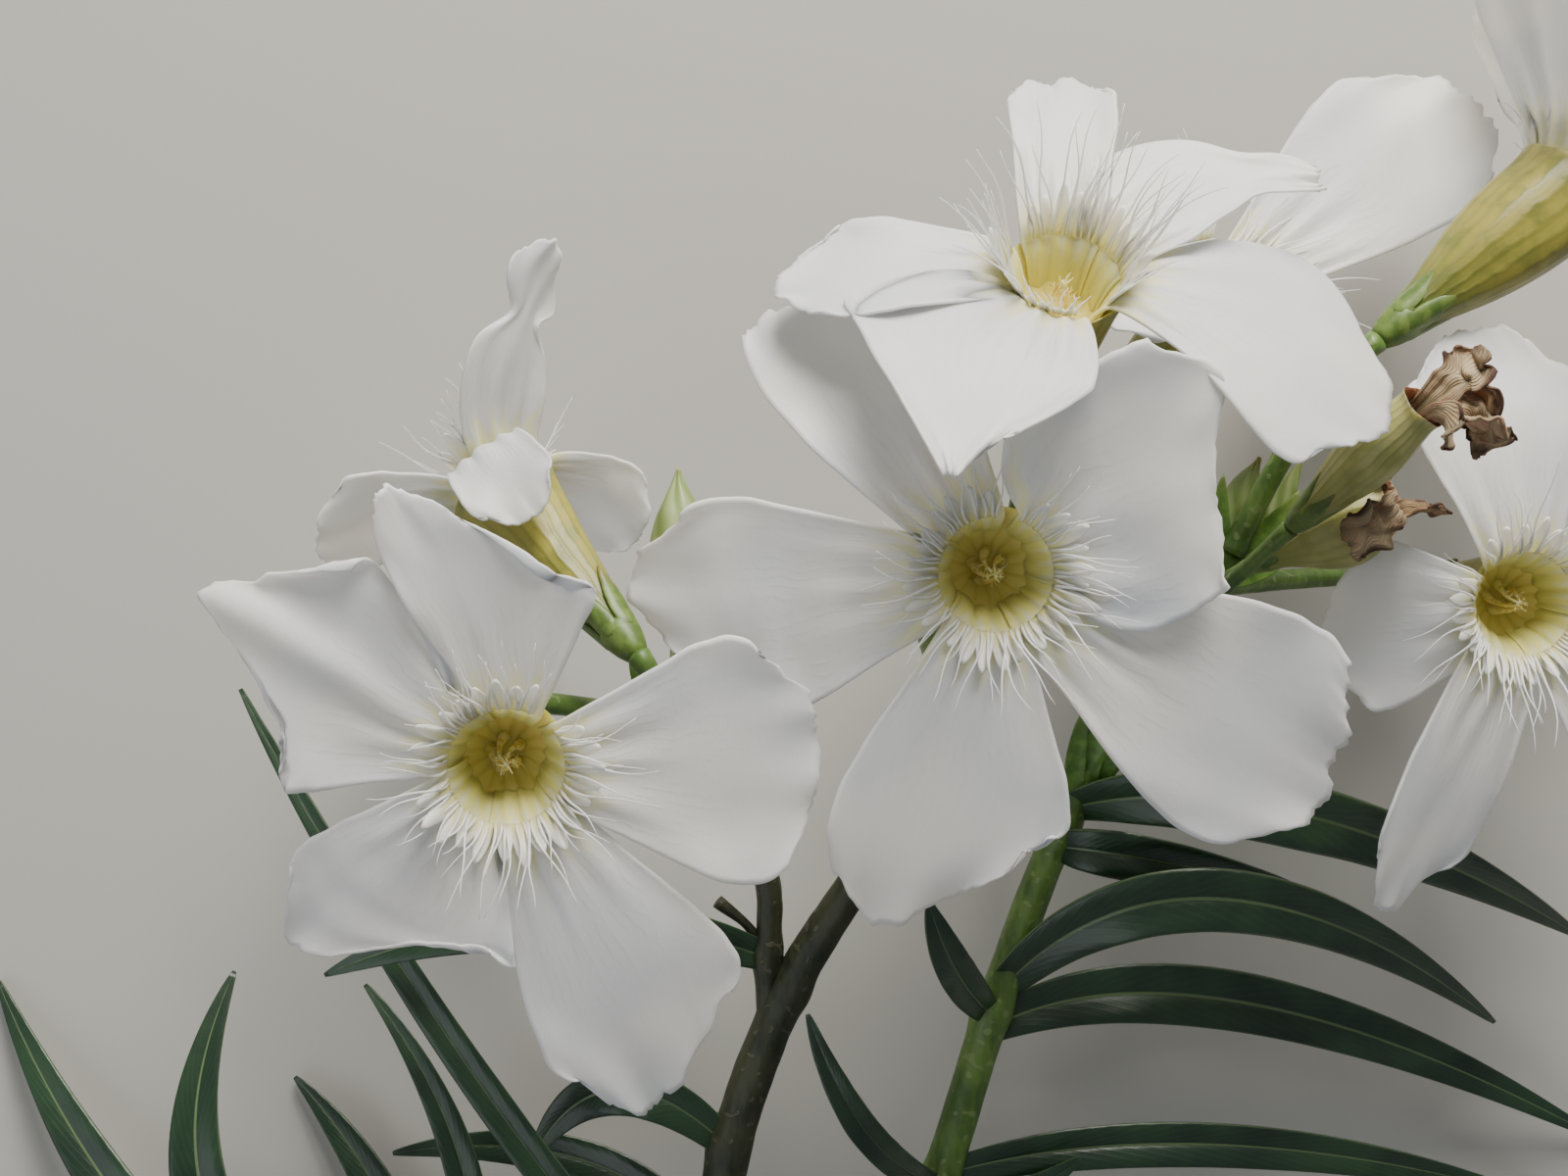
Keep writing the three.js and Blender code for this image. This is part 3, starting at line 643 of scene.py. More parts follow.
@dataclass
class Petal:
    """Angles in degrees, length, width and ridge in millimetres, and all else as shares."""

    turn: float
    length: float
    width: float
    rise: float
    fall: float
    tip: tuple = ROUND_TIP
    cup: float = 0.06
    twist: float = 0
    sweep: float = 0
    broadest: float = 0.78
    narrowing: float = 0.14
    sides: tuple = (1, 1)
    curl: tuple = (0, 0)
    ridge: tuple = (0, 0)
    waist: tuple = (0.5, 0)
    wrinkle: float = 0
    fringe: float = 1


@dataclass
class Bloom:
    """The middle of the mouth, the way it looks, where its stalk starts, and its petals.

    Its threads stand at so many degrees and are so many millimetres long, and the tube is
    reshaped by shares of its width, from the mouth to the foot.
    """

    at: tuple
    face: tuple
    stalk_from: tuple
    petals: list
    threads_stand: float = 40
    threads_long: float = 7.5
    size: float = 1.0
    tube: tuple = (1, 1)


# %% The blooms' table
BLOOMS = {
    "middle": Bloom((15.4, 0.8, 55), (0.05, -0.12, 1), (14.6, -9, 23.4), [
        Petal(124, 21.5, 13.5, 0, -38, (0.95, 0.99, 0.93, 0.85, 0.72), 0.1, curl=(0.5, 0)),
        Petal(31, 14.5, 20, 20, 0, (0.9, 1.14, 0.93, 0.79, 0.66), broadest=0.35, narrowing=0.05,
              sides=(1.02, 0.92)),
        Petal(-31, 25, 18, 4, -14, (0.86, 0.98, 1.03, 1.02, 0.85)),
        Petal(-100, 21, 17.5, 4, -12, (0.66, 0.86, 1, 1.1, 0.92)),
        Petal(-174, 22.5, 15, -2, -24, (0.62, 0.85, 1, 0.98, 0.8), sides=(1.25, 1), wrinkle=0.7),
    ]),
    "left": Bloom((-19.6, -13, 57), (0.12, -0.15, 1), (-10.6, -11, 24.6), [
        Petal(97, 18.5, 13, 14, 0, (0.9, 1, 0.93, 0.62, 0.38), 0.12, sweep=30, sides=(0.65, 1.3),
              broadest=0.75, narrowing=0.2),
        Petal(150, 20.3, 17, 14, -20, (0.43, 0.6, 0.98, 0.84, 0.6), 0.15, ridge=(0.1, 1.2)),
        Petal(-135, 14.8, 16, 4, -14, (0.38, 0.6, 1, 1.03, 0.76), sides=(1.3, 0.8), wrinkle=0.3),
        Petal(-65, 23.6, 15.5, 4, -12, (0.74, 0.86, 1, 1, 0.78), sides=(1.2, 0.85)),
        Petal(4, 18, 17.5, 8, -8, (0.78, 0.97, 1, 0.97, 0.85), 0.1, sides=(1, 1.08)),
    ], 45),
    "top": Bloom((20.5, 24, 53), (0.05, 0.64, 0.77), (16.5, -6.9, 24.1), [
        Petal(88, 15.5, 9, 18, -6, (0.86, 1, 0.98, 1.0, 0.86), 0.12, broadest=0.9, sides=(0.75, 1.1)),
        Petal(184, 17, 10, 8, -14, (0.8, 0.95, 1, 0.9, 0.7), 0.1),
        Petal(-116, 17.5, 19, 4, -16, (0.84, 0.93, 1, 1, 1), 0, broadest=0.4, narrowing=0.93,
              sides=(0.62, 1.35), curl=(0, 0.35), fringe=0.4),
        Petal(-15, 21.8, 18, -4, -38, (0.84, 1.04, 1.08, 0.98, 0.76), -0.08, sides=(1.15, 1.18)),
        Petal(40, 18.5, 11, 14, -8, (1, 1, 1, 1, 1), 0.1, sweep=-40, broadest=0.3, narrowing=0.75,
              sides=(1.1, 0.75), waist=(0.72, 0.3)),
    ], 66, 9.5),
    "right": Bloom((60.1, -1.5, 34), (0.1, -0.1, 1), (36.2, 0.2, 22.4), [
        Petal(188, 12, 14.5, -20, -28, (0.8, 0.98, 1, 0.9, 0.7), 0.02),
        Petal(-113, 23, 11, 4, -12, cup=0.1, twist=40),
        Petal(99, 19, 15, -4, -32),
        Petal(30, 20, 16, 8, -12, cup=0.1),
        Petal(-42, 20, 16, 6, -12, cup=0.1),
    ], 42, 9.5),
    "back_left": Bloom((-24.9, 9.9, 23), (-0.57, 0.66, -0.49), (-10.9, -9.9, 25.6), [
        Petal(65, 18, 9, 14, 36, (0.8, 0.95, 1, 0.95, 0.8), 0.15, sweep=70, broadest=0.3, narrowing=0.1,
              waist=(0.66, 0.6)),
        Petal(182, 11, 10, -20, -60),
        Petal(232, 16, 14, 24, 10, cup=0.1),
        Petal(38, 10.5, 8, -60, -125, cup=0.1),
        Petal(-34, 12, 12, 10, 5, cup=0.1),
    ]),
    "behind_top": Bloom((38.5, 27, 24), (0.5, 0.58, 0.65), (16.8, -8.6, 22.8), [
        Petal(24, 25.5, 18, 42, 28, (0.8, 1.04, 1.06, 1.06, 0.92), sides=(0.9, 0.9)),
        Petal(118, 10, 10, 0, -40, cup=0.08),
        Petal(190, 12, 11, 0, -30, cup=0.08),
        Petal(262, 10, 10, 0, -30, cup=0.08),
        Petal(-38, 10, 10, 0, -30, cup=0.08),
    ], 30, 9.5),
    "top_right": Bloom((66.4, 34.1, 28), (0.78, 0.6, -0.16), (37.8, 3.3, 25.2), [
        Petal(104, 18, 18, 26, 10, (0.9, 1.05, 0.9, 1, 0.8), 0.1, ridge=(0.2, 1)),
        Petal(190, 16, 14, 20, 0, cup=0.1),
        Petal(262, 17, 14, 10, 0, cup=0.1),
        Petal(-26, 13, 12, 44, 20, cup=0.1),
        Petal(46, 17, 13, 40, 20, cup=0.1),
    ], 35, 9, tube=(1, 1.03, 1.12, 1.24, 1.32, 1.32, 1.22, 1.08, 1)),
}

# %% [markdown]
# ## Petals
#
# A petal could be cut from a flat outline, but its rim, its folds and its ruffles all follow
# from how it grew. Its foot, the claw, stands steeply in the throat and is bent round it, and
# the five claws together are the funnel's mouth. From there the petal flares out and flattens.
# So the rule first walks along the middle of the petal and notes each stride. It then steps
# sideways to the place across the petal, round the throat as long as the claw lasts, and last
# adds the cup, the curled margins, the ruffled rim, the pleats that fan out from the claw and
# the small cockles that keep a petal from looking like paper.

# %% A petal's middle line
MOUTH_RADIUS = 4.4
MOUTH_DEPTH = 1.9
CLAW_LENGTH = 4.6
CLAW_STANDS = 84
MOUTH_STANDS = 48
STEEPEST = 88
STANDING_REACH = 2.0
FLARE_REACH = 1.5
STRIDE = 0.4
LONGEST_TIP = 1.35


def petal_spine(row):
    """Each stride along a petal's middle: where it is, the way ahead and the way to its side."""

    def stride_at(distance):
        gone = distance / row.length
        if distance < 0:
            sunk = 1 - math.exp(distance / STANDING_REACH)
            lean = MOUTH_STANDS + (CLAW_STANDS - MOUTH_STANDS) * sunk
        else:
            free = row.rise + (row.fall - row.rise) * gone
            lean = free + (MOUTH_STANDS - row.rise) * math.exp(-distance / FLARE_REACH)
        heading = math.radians(row.turn + row.sweep * max(0, gone))
        lean = math.radians(min(lean, STEEPEST))
        level = math.cos(lean)
        ahead = Vector((math.cos(heading) * level, math.sin(heading) * level, math.sin(lean)))
        return ahead, Vector((math.sin(heading), -math.cos(heading), 0))

    turn = math.radians(row.turn)
    mouth = Vector((MOUTH_RADIUS * math.cos(turn), MOUTH_RADIUS * math.sin(turn), -MOUTH_DEPTH))
    inward = round(CLAW_LENGTH / STRIDE)
    outward = round(row.length * LONGEST_TIP / STRIDE)
    spine = [(mouth, *stride_at(0))]
    for i in range(inward):
        halfway = stride_at(-(i + 0.5) * STRIDE)[0]
        spine.insert(0, (spine[0][0] - halfway * STRIDE, *stride_at(-(i + 1) * STRIDE)))
    for i in range(outward):
        halfway = stride_at((i + 0.5) * STRIDE)[0]
        spine.append((spine[-1][0] + halfway * STRIDE, *stride_at((i + 1) * STRIDE)))
    return spine


def spine_at(spine, distance):
    """The place and the two directions at a distance from the mouth."""
    spot = min(max((distance + CLAW_LENGTH) / STRIDE, 0), len(spine) - 1.001)
    i = int(spot)
    return [here.lerp(there, spot - i) for here, there in zip(spine[i], spine[i + 1])]


# %% The petal's rule
CLAW_SHARE = 0.2
CLAW_HALF_ANGLE = math.radians(41)
WRAP_REACH = 3.0
OVERLAP_STEP = 0.16
PETAL_WALL = 0.22
RUFFLE = 0.85
COCKLE = 0.55
PLEAT = 0.16
PLEATS = 11
PLEATS_AT = 0.16
PLEATS_REACH = 0.2
NOTCH = 0.026
SMALL_NOTCHES = 0.7
WAVY_SIDES = 1.4
BROADENS = 1.2
CURL_FROM = 0.5
WAIST_REACH = 0.13
RIDGE_REACH = 0.22


def petal_rule(row, seed):
    """The rule that gives each place on a petal, in its bloom's frame.

    Across the petal q runs from -1 to 1, and t runs from 0 at the mouth to 1 at the tip.
    """
    spine = petal_spine(row)

    def place_of(across, along):
        q = 2 * across - 1
        t = max(0, along - CLAW_SHARE) / (1 - CLAW_SHARE)
        notches = waver((q * 6, 0, 0), 1, seed) + SMALL_NOTCHES * waver((q * 17, 0, 0), 1, seed)
        uneven = NOTCH * notches
        full_reach = between(row.tip, across) + uneven
        late = min(2, full_reach / max(1 - full_reach, 0.1))
        reach = t * (1 + (full_reach - 1) * t**late)
        distance = reach * row.length if t else (along / CLAW_SHARE - 1) * CLAW_LENGTH
        place, ahead, side = spine_at(spine, distance)
        out = side.cross(ahead).normalized()
        rolled = Matrix.Rotation(math.radians(-row.twist * reach), 3, ahead)
        side, out = rolled @ side, rolled @ out
        round_throat = place.xy.length
        wrap = math.exp(-((max(0, distance) / WRAP_REACH) ** 2))
        claw_half = min(round_throat, MOUTH_RADIUS) * CLAW_HALF_ANGLE
        past = max(0, t - row.broadest) / (1 - row.broadest)
        spread = math.sin(math.pi / 2 * min(1, t / row.broadest)) ** BROADENS
        full = row.width / 2 * (row.sides[0] if q < 0 else row.sides[1])
        half = claw_half + (full * (1 - row.narrowing * past ** (2 - row.narrowing)) - claw_half) * spread
        half *= 1 + NOTCH * WAVY_SIDES * waver((t * 8, q, 0), 1, seed + 5) * t
        half *= 1 - row.waist[1] * math.exp(-(((t - row.waist[0]) / WAIST_REACH) ** 2))
        bent = wrap / round_throat
        off = q * half
        inward = -place.xy.normalized().to_3d() * (1 - math.cos(bent * off)) / max(bent, 1e-5)
        off = math.sin(bent * off) / bent if bent > 1e-5 else off
        rim = max(abs(q) ** 3, t**5)
        ruffle = RUFFLE * rim * t * waver((q * 2.4, t * 3.2, 0), 1, seed + 9)
        cockle = COCKLE * t * waver((q * 1.5, t * 2.1, 0), 1, seed + 13)
        fine = row.wrinkle * t * waver((q * 1.1 + t, t * 6.5, 0), 1, seed + 17)
        folds = math.cos(q * PLEATS + 2 * waver((q * 3, 0, 0), 1, seed))
        pleat = PLEAT * folds * math.exp(-(((t - PLEATS_AT) / PLEATS_REACH) ** 2))
        opened = min(1, 2 * t)
        margin = max(0, (abs(q) - CURL_FROM) / (1 - CURL_FROM)) ** 2
        curled = (row.curl[0] if q < 0 else row.curl[1]) * margin * opened * 2
        cupped = row.cup * half * q * q * opened
        ridged = row.ridge[1] * math.exp(-(((q - row.ridge[0]) / RIDGE_REACH) ** 2)) * opened
        lift = cupped + ridged + ruffle + cockle + fine + pleat + curled + OVERLAP_STEP * q * wrap
        return place + inward + side * off + out * lift

    return place_of


def petal_sheet(row, seed, columns=40, rows=56):
    return sheet(columns, rows, petal_rule(row, seed))


# %% [markdown]
# The petal's finish is white, but not one white. It drifts between a cool and a warm white, and
# faint veins fan out from the claw, so they are stripes across the petal's own UV map, bent a
# little by noise. They are partly real veins and partly painted shade: the grey shading streaks
# that fan out from the throat, which is why they are drawn strongest near the claw. The claw is
# yellow, and the yellow runs out over the petal in streaks. Light has to get in and come out
# again, which is what subsurface scattering does in a thin wall.

# %% The petal's finish
def petal_finish(name, cool, warm, vein_and_shade_colour, mouth_colour, root_colour):
    finish = Finish(name)
    across, along = finish.across_and_along()
    clouds = finish.blotches(95, 1)
    drift = finish.blotches(260, 2)
    patchy = finish.blotches(700, 2)
    fan = abs((across * 58 + drift * 9).sine()) ** 8
    # The veins are partly painted shade: grey shading streaks that fan out from the throat, strongest near
    # the claw.
    veins = fan * along.ramp(0.9, 0.3) * patchy.ramp(0.35, 0.65)
    cells = finish.blotches(3000, 2)
    white = finish.mix(clouds.ramp(0.4, 0.6), cool, warm)
    veined = finish.mix(veins * 0.3, white, vein_and_shade_colour)
    streaks = abs((across * 17 + drift * 6).sine()) * 0.11 + drift * 0.06
    mouth = (along - streaks).ramp(0.27, 0.13)
    tinted = finish.mix(mouth, veined, mouth_colour)
    rooted = finish.mix((along - streaks * 0.8).ramp(0.17, 0.02), tinted, root_colour)
    finish.set(base_color=rooted, roughness=0.5, subsurface_weight=0.7, subsurface_scale=0.0014)
    finish.set(subsurface_radius=(1.0, 0.93, 0.82), sheen_weight=0.1, sheen_roughness=0.4)
    finish.relief(veins * 0.5 + cells * 0.3 + patchy * 0.2, 0.03)
    return finish.material


petal_white = petal_finish(
    "petal_white",
    cool=rgb(0.66, 0.675, 0.695),
    warm=rgb(0.77, 0.745, 0.70),
    # Grey of the real veins, and also the painted shade of the streaks near the claw.
    vein_and_shade_colour=rgb(0.52, 0.53, 0.51),
    mouth_colour=rgb(0.76, 0.74, 0.46),
    root_colour=rgb(0.78, 0.71, 0.20),
)

# %% [markdown]
# ## Tube
#
# The tube is one closed skin: from the foot up its outside, over the lip, and down the inside
# to a point. The lip lies hidden under the claws. Where the outside ends and the inside begins,
# the finish changes from the green and yellow of the tube to the deep yellow of the throat,
# which has darker lines to guide insects in. Not all tubes are alike, so the skin is made once
# and then reshaped by the row of widths in its bloom's table.

# %% The tube's rule and finishes
TUBE_OUTSIDE = [
    (0, 21), (1.45, 21), (1.75, 18.6), (2.1, 16.5), (2.6, 13.2),
    (3.15, 9.9), (3.7, 7), (4.15, 4.6), (4.5, 3.1), (4.75, 2.4),
]
TUBE_INSIDE = [(4.6, 2.5), (4.2, 3), (3.85, 3.7), (3.5, 4.5), (3, 5.4), (2.3, 6.3), (1.3, 7), (0, 7.2)]
TUBE_LENGTH = 21
TUBE_RIDGE = 0.03
NARROWEST = 0.3


def tube_skin(seed, columns=50, rows=90):
    """The whole funnel, with five soft ridges."""
    profile = TUBE_OUTSIDE + TUBE_INSIDE
    radii = [radius for radius, depth in profile]
    depths = [depth for radius, depth in profile]
    lip = len(TUBE_OUTSIDE) / len(profile)

    def place_of(across, along):
        turn = 2 * math.pi * across
        around = Vector((math.cos(turn), math.sin(turn), 0))
        unsteady = waver(around * 1.4 + UP * 5 * along, 1, seed)
        ridge = 1 + TUBE_RIDGE * (math.cos(5 * turn + seed) + unsteady)
        return around * max(0.0, between(radii, along)) * ridge - UP * between(depths, along)

    made = skin(columns, rows, place_of)
    flat = made.loops.layers.uv[UV_NAME]
    for face in made.faces:
        face.material_index = int(sum(loop[flat].uv.y for loop in face.loops) / len(face.loops) > lip)
    return made


def reshaped(parts, widths):
    """Moves each corner out or in by a row of shares, given from the mouth to the foot."""
    for part in parts:
        for corner in part.verts:
            round_axis = corner.co.xy.length
            share = between(widths, -corner.co.z / TUBE_LENGTH)
            if round_axis > MOUTH_RADIUS:
                share = max(NARROWEST, 1 - (1 - share) * MOUTH_RADIUS / round_axis)
            corner.co.xy *= share
    return parts


def tube_finish(name, foot_colour, mid_colour, lip_colour):
    finish = Finish(name)
    across, along = finish.across_and_along()
    streaks = finish.blotches(420, 3)
    lines = abs((across * 63 + streaks * 3).sine()) ** 4
    body = finish.mix(along.ramp(0.06, 0.3), foot_colour, mid_colour)
    opened = finish.mix(along.ramp(0.42, 0.56), body, lip_colour)
    streaked = finish.mix(streaks.ramp(0.42, 0.66) * 0.55, opened, foot_colour)
    finish.set(base_color=finish.mix(lines * 0.3, streaked, foot_colour), roughness=0.42)
    finish.set(subsurface_weight=0.3, subsurface_scale=0.001, subsurface_radius=(1.0, 0.9, 0.4))
    finish.relief(lines * 0.6 + streaks * 0.4, 0.06)
    return finish.material


def throat_finish():
    finish = Finish("throat")
    across, along = finish.across_and_along()
    drift = finish.blotches(500, 2)
    lines = abs((across * 47 + drift * 2).sine()) ** 6
    deep = finish.mix(along.ramp(0.7, 1.0), rgb(0.84, 0.79, 0.32), rgb(0.76, 0.68, 0.20))
    rust = finish.mix(drift.ramp(0.62, 0.74) * 0.5, deep, rgb(0.48, 0.26, 0.04))
    finish.set(base_color=finish.mix(lines * 0.35, rust, rgb(0.62, 0.46, 0.08)), roughness=0.5)
    finish.set(subsurface_weight=0.4, subsurface_scale=0.001, subsurface_radius=(1.0, 0.8, 0.2))
    finish.relief(lines, 0.05)
    return finish.material


tube_outer = tube_finish(
    "tube_outer", rgb(0.11, 0.14, 0.025), rgb(0.35, 0.31, 0.055), rgb(0.54, 0.48, 0.18)
)
throat_yellow = throat_finish()

# %% [markdown]
# ## Threads and stamens
#
# Each petal carries a fringe at its foot: a cream scale, cut into teeth, and long white threads
# that stand up round the throat and wander outwards, as fine as hair at their ends. The scale
# follows the same run as a thread, so it is a sheet whose columns are short threads. In the
# funnel the five anthers lean together into a cone, and each ends in a feathery tail. Threads
# and anthers are thin limbs with few sides, because there are hundreds of them.

# %% Finishes of the fringe and the stamens
def fringe_finish(name, root_colour, end_colour, changed_by):
    finish = Finish(name)
    along = finish.across_and_along()[1]
    finish.set(base_color=finish.mix(along.ramp(0.0, changed_by), root_colour, end_colour), roughness=0.45)
    finish.set(subsurface_weight=0.6, subsurface_scale=0.0006, subsurface_radius=(1.0, 0.93, 0.82))
    return finish.material


def anther_finish():
    finish = Finish("anther_cream")
    grain = finish.blotches(1500, 2)
    finish.set(base_color=finish.mix(grain.ramp(0.4, 0.6), rgb(0.66, 0.54, 0.16), rgb(0.82, 0.74, 0.42)))
    finish.set(roughness=0.6, subsurface_weight=0.3, subsurface_scale=0.0006)
    return finish.material


thread_white = fringe_finish("thread_white", rgb(0.76, 0.72, 0.44), rgb(0.80, 0.80, 0.78), 0.3)
scale_cream = fringe_finish("scale_cream", rgb(0.76, 0.70, 0.26), rgb(0.80, 0.79, 0.70), 0.9)
anther_cream = anther_finish()

# %% Threads and scales
THREADS_EACH = 13
THREAD_STEPS = 12
THREAD_SPACING = 5.4
THREAD_RADII = [0.16, 0.11, 0.08, 0.05, 0.03]
THREAD_SIDES = 5
FRINGE_RADIUS = 4.25
FRINGE_DEPTH = 1.75
FRINGE_STARTS = 70
SCALE_HALF_ANGLE = 33
SCALE_COLUMNS = 35
SCALE_TEETH = 5
SCALE_LENGTH = 3.8
SCALE_SETTLES = 18
SCALE_WALL = 0.1


def straight(t):
    """The sway of a thread that doesn't wander."""
    return 0


def fringe_run(turn, length, stands, settles, sway):
    """A thread's run: steep at its root, then at stands degrees, and at settles at its end."""
    outward = Vector((math.cos(turn), math.sin(turn), 0))
    sideways = Vector((-outward.y, outward.x, 0))
    place = outward * FRINGE_RADIUS - UP * FRINGE_DEPTH
    path = []
    for j in range(THREAD_STEPS):
        t = j / (THREAD_STEPS - 1)
        leans = FRINGE_STARTS + (stands - FRINGE_STARTS) * min(1, 4 * t) + (settles - stands) * t * t
        tilt = math.radians(leans)
        ahead = outward * math.cos(tilt) + UP * math.sin(tilt)
        path.append(place.copy())
        place += (ahead + sideways * sway(t)).normalized() * length / (THREAD_STEPS - 1)
    return path


def scale_sheet(row, stands, seed):
    """The scale at the foot of a petal, whose end is cut into teeth of uneven length."""
    runs = []
    for i in range(SCALE_COLUMNS + 1):
        q = 2 * i / SCALE_COLUMNS - 1
        tooth = 0.45 + 0.55 * abs(math.cos(math.pi * SCALE_TEETH * q / 2))
        uneven = 1 - 0.35 * q * q + 0.3 * waver((q * 2.5, 0, 0), 1, seed)
        leans = stands + 14 * waver((q * 2, 3, 0), 1, seed)
        turn = math.radians(row.turn + q * SCALE_HALF_ANGLE)
        length = SCALE_LENGTH * row.fringe * tooth * uneven
        runs.append(fringe_run(turn, length, leans, leans - SCALE_SETTLES, straight))

    def place_of(across, along):
        return runs[round(across * SCALE_COLUMNS)][round(along * (THREAD_STEPS - 1))]

    return sheet(SCALE_COLUMNS, THREAD_STEPS - 1, place_of)


def thread(turn, length, stands, draw):
    """One thread, which wanders to a side and snakes a little on its way."""
    settles = stands + draw.uniform(-34, 10)
    curl = draw.uniform(-0.28, 0.28)
    phase = draw.uniform(0, 6)

    def sway(t):
        return curl * 2 * t + 0.16 * math.sin(7 * t + phase)

    return limb(fringe_run(turn, length, stands, settles, sway), THREAD_RADII, THREAD_SIDES)


def threads_of(bloom, draw):
    """The fringe of a bloom: threads at the foot of each petal."""
    made = []
    for row in bloom.petals:
        for i in range(THREADS_EACH):
            spaced = row.turn + (i - (THREADS_EACH - 1) / 2) * THREAD_SPACING
            turn = math.radians(spaced + draw.uniform(-3, 3))
            length = bloom.threads_long * row.fringe * draw.uniform(0.6, 1.12)
            stands = bloom.threads_stand + draw.uniform(-16, 16)
            made.append(thread(turn, length, stands, draw))
    return made


# %% Stamens
CONE_DEPTH = 8.6
CONE_HEIGHT = 6.2
CONE_RADIUS = 1.2
CONE_TWIST = 1.6
ANTHERS = 5
ANTHER_STEPS = 12
ANTHER_SIDES = 7
ANTHER_RADII = [0.26, 0.55, 0.42, 0.24, 0.18, 0.12, 0.07]
FEATHERS = 9
FEATHERS_FROM = 0.6
FEATHER_SIDES = 4
FEATHER_RADII = [0.05, 0.04, 0.02]


def stamens_of(draw):
    """Five anthers that lean together, each with a twisted feathery tail."""
    made = []

    def along_anther(turn, t):
        around = turn + CONE_TWIST * t
        radius = CONE_RADIUS * (1 - t) ** 0.7 + 0.2 * math.sin(math.pi * t)
        return Vector((radius * math.cos(around), radius * math.sin(around), CONE_HEIGHT * t - CONE_DEPTH))

    for i in range(ANTHERS):
        turn = 2 * math.pi * i / ANTHERS
        path = [along_anther(turn, j / (ANTHER_STEPS - 1)) for j in range(ANTHER_STEPS)]
        made.append(limb(path, ANTHER_RADII, ANTHER_SIDES, finish=1))
        for j in range(FEATHERS):
            start = along_anther(turn, FEATHERS_FROM + (1 - FEATHERS_FROM) * j / FEATHERS)
            aim = Vector((draw.uniform(-1, 1), draw.uniform(-1, 1), draw.uniform(0.4, 1.6)))
            aim.normalize()
            feather = [start, start + aim * 0.35, start + aim * 0.8 + UP * 0.1]
            made.append(limb(feather, FEATHER_RADII, FEATHER_SIDES, finish=1))
    return made


# %% [markdown]
# ## Calyx and stalk
#
# The foot of the tube sits in a small green cup with five pointed sepals, and a stalk carries
# the cup. The cup is a turned shape, so it is a profile spun round its axis. A sepal is a small
# pointed blade that leans against the tube, and so are the bracts at the foot of the stalks.

# %% Calyx and stalk finishes
def green_finish(name, dark, light, tip_colour):
    finish = Finish(name)
    along = finish.across_and_along()[1]
    cloud = finish.blotches(900, 3)
    body = finish.mix(cloud.ramp(0.35, 0.65), dark, light)
    finish.set(base_color=finish.mix(along.ramp(0.6, 1.0) * 0.7, body, tip_colour), roughness=0.42)
    finish.relief(cloud, 0.04)
    return finish.material


calyx_green = green_finish(
    "calyx_green", rgb(0.075, 0.135, 0.022), rgb(0.145, 0.22, 0.045), rgb(0.22, 0.14, 0.045)
)

# %% Calyx
CALYX_FOOT = 23.3
CUP_PROFILE = [
    (0, -CALYX_FOOT), (0.85, -CALYX_FOOT), (1.1, -22.8), (1.38, -22.1),
    (1.6, -21.2), (1.72, -20.4), (1.66, -19.9), (0, -19.9),
]


def turned(profile, steps=40):
    """A profile of radius and height, spun round +Z into a closed skin."""
    spun = bmesh.new()
    spun.loops.layers.uv.new(UV_NAME)
    corners = [spun.verts.new((radius, 0, height)) for radius, height in profile]
    edges = [spun.edges.new(pair) for pair in zip(corners, corners[1:])]
    outline = corners + edges
    bmesh.ops.spin(spun, geom=outline, axis=UP, angle=2 * math.pi, steps=steps, use_merge=True)
    bmesh.ops.remove_doubles(spun, verts=spun.verts, dist=1e-4)
    for face in spun.faces:
        face.smooth = True
    return spun


def blade_skin(path, side, widths, thickness, sides=12):
    """A small pointed blade with a rounded section, such as a sepal or a bract."""
    frames = frames_along(path)

    def place_of(across, along):
        ring = round(along * (len(path) - 1))
        point, square, other = frames[ring]
        if ring in (0, len(path) - 1):
            return point
        ahead = square.cross(other)
        flat_side = (side - ahead * side.dot(ahead)).normalized()
        out = flat_side.cross(ahead)
        turn = 2 * math.pi * across
        half = between(widths, along) / 2
        hollow = 0.35 * half * math.cos(turn) ** 2
        return point + flat_side * half * math.cos(turn) + out * (thickness / 2 * math.sin(turn) + hollow)

    return skin(sides, len(path) - 1, place_of)


SEPALS = 5
SEPAL_STEPS = 12
SEPAL_LENGTH = 6.4
SEPAL_WIDTHS = [1.6, 2.0, 1.8, 1.1, 0.2]
SEPAL_WALL = 0.3
SEPAL_ROOT_RADIUS = 1.5
SEPAL_ROOT_DEPTH = 21.4


def calyx_parts(seed):
    """The green cup and its five sepals."""
    parts = [turned(CUP_PROFILE)]
    for i in range(SEPALS):
        turn = 2 * math.pi * i / SEPALS + seed
        outward = Vector((math.cos(turn), math.sin(turn), 0))
        sideways = Vector((-outward.y, outward.x, 0))
        path = []
        for j in range(SEPAL_STEPS):
            t = j / (SEPAL_STEPS - 1)
            radius = SEPAL_ROOT_RADIUS + 0.55 * math.sin(math.pi * 0.5 * t) + 0.5 * t * t
            path.append(outward * radius + UP * (SEPAL_LENGTH * t - SEPAL_ROOT_DEPTH))
        parts.append(blade_skin(path, -sideways, SEPAL_WIDTHS, SEPAL_WALL))
    return parts


def placed(parts, matrix):
    for part in parts:
        bmesh.ops.transform(part, matrix=matrix, verts=part.verts)
    return parts


def bloom_matrix(bloom):
    """Stands a bloom at its place: +Z the way it looks, +Y as near to the branch's as can be."""
    out = Vector(bloom.face).normalized()
    up = (Vector((0, 1, 0)) - out * out.y).normalized()
    right = up.cross(out)
    turned_by = Matrix((right, up, out)).transposed().to_4x4()
    return Matrix.Translation(bloom.at) @ turned_by @ Matrix.Scale(bloom.size, 4)


# %% Stalks
STALK_STEPS = 32
STALK_RADII = [0.95, 0.85]
STALK_SIDES = 16


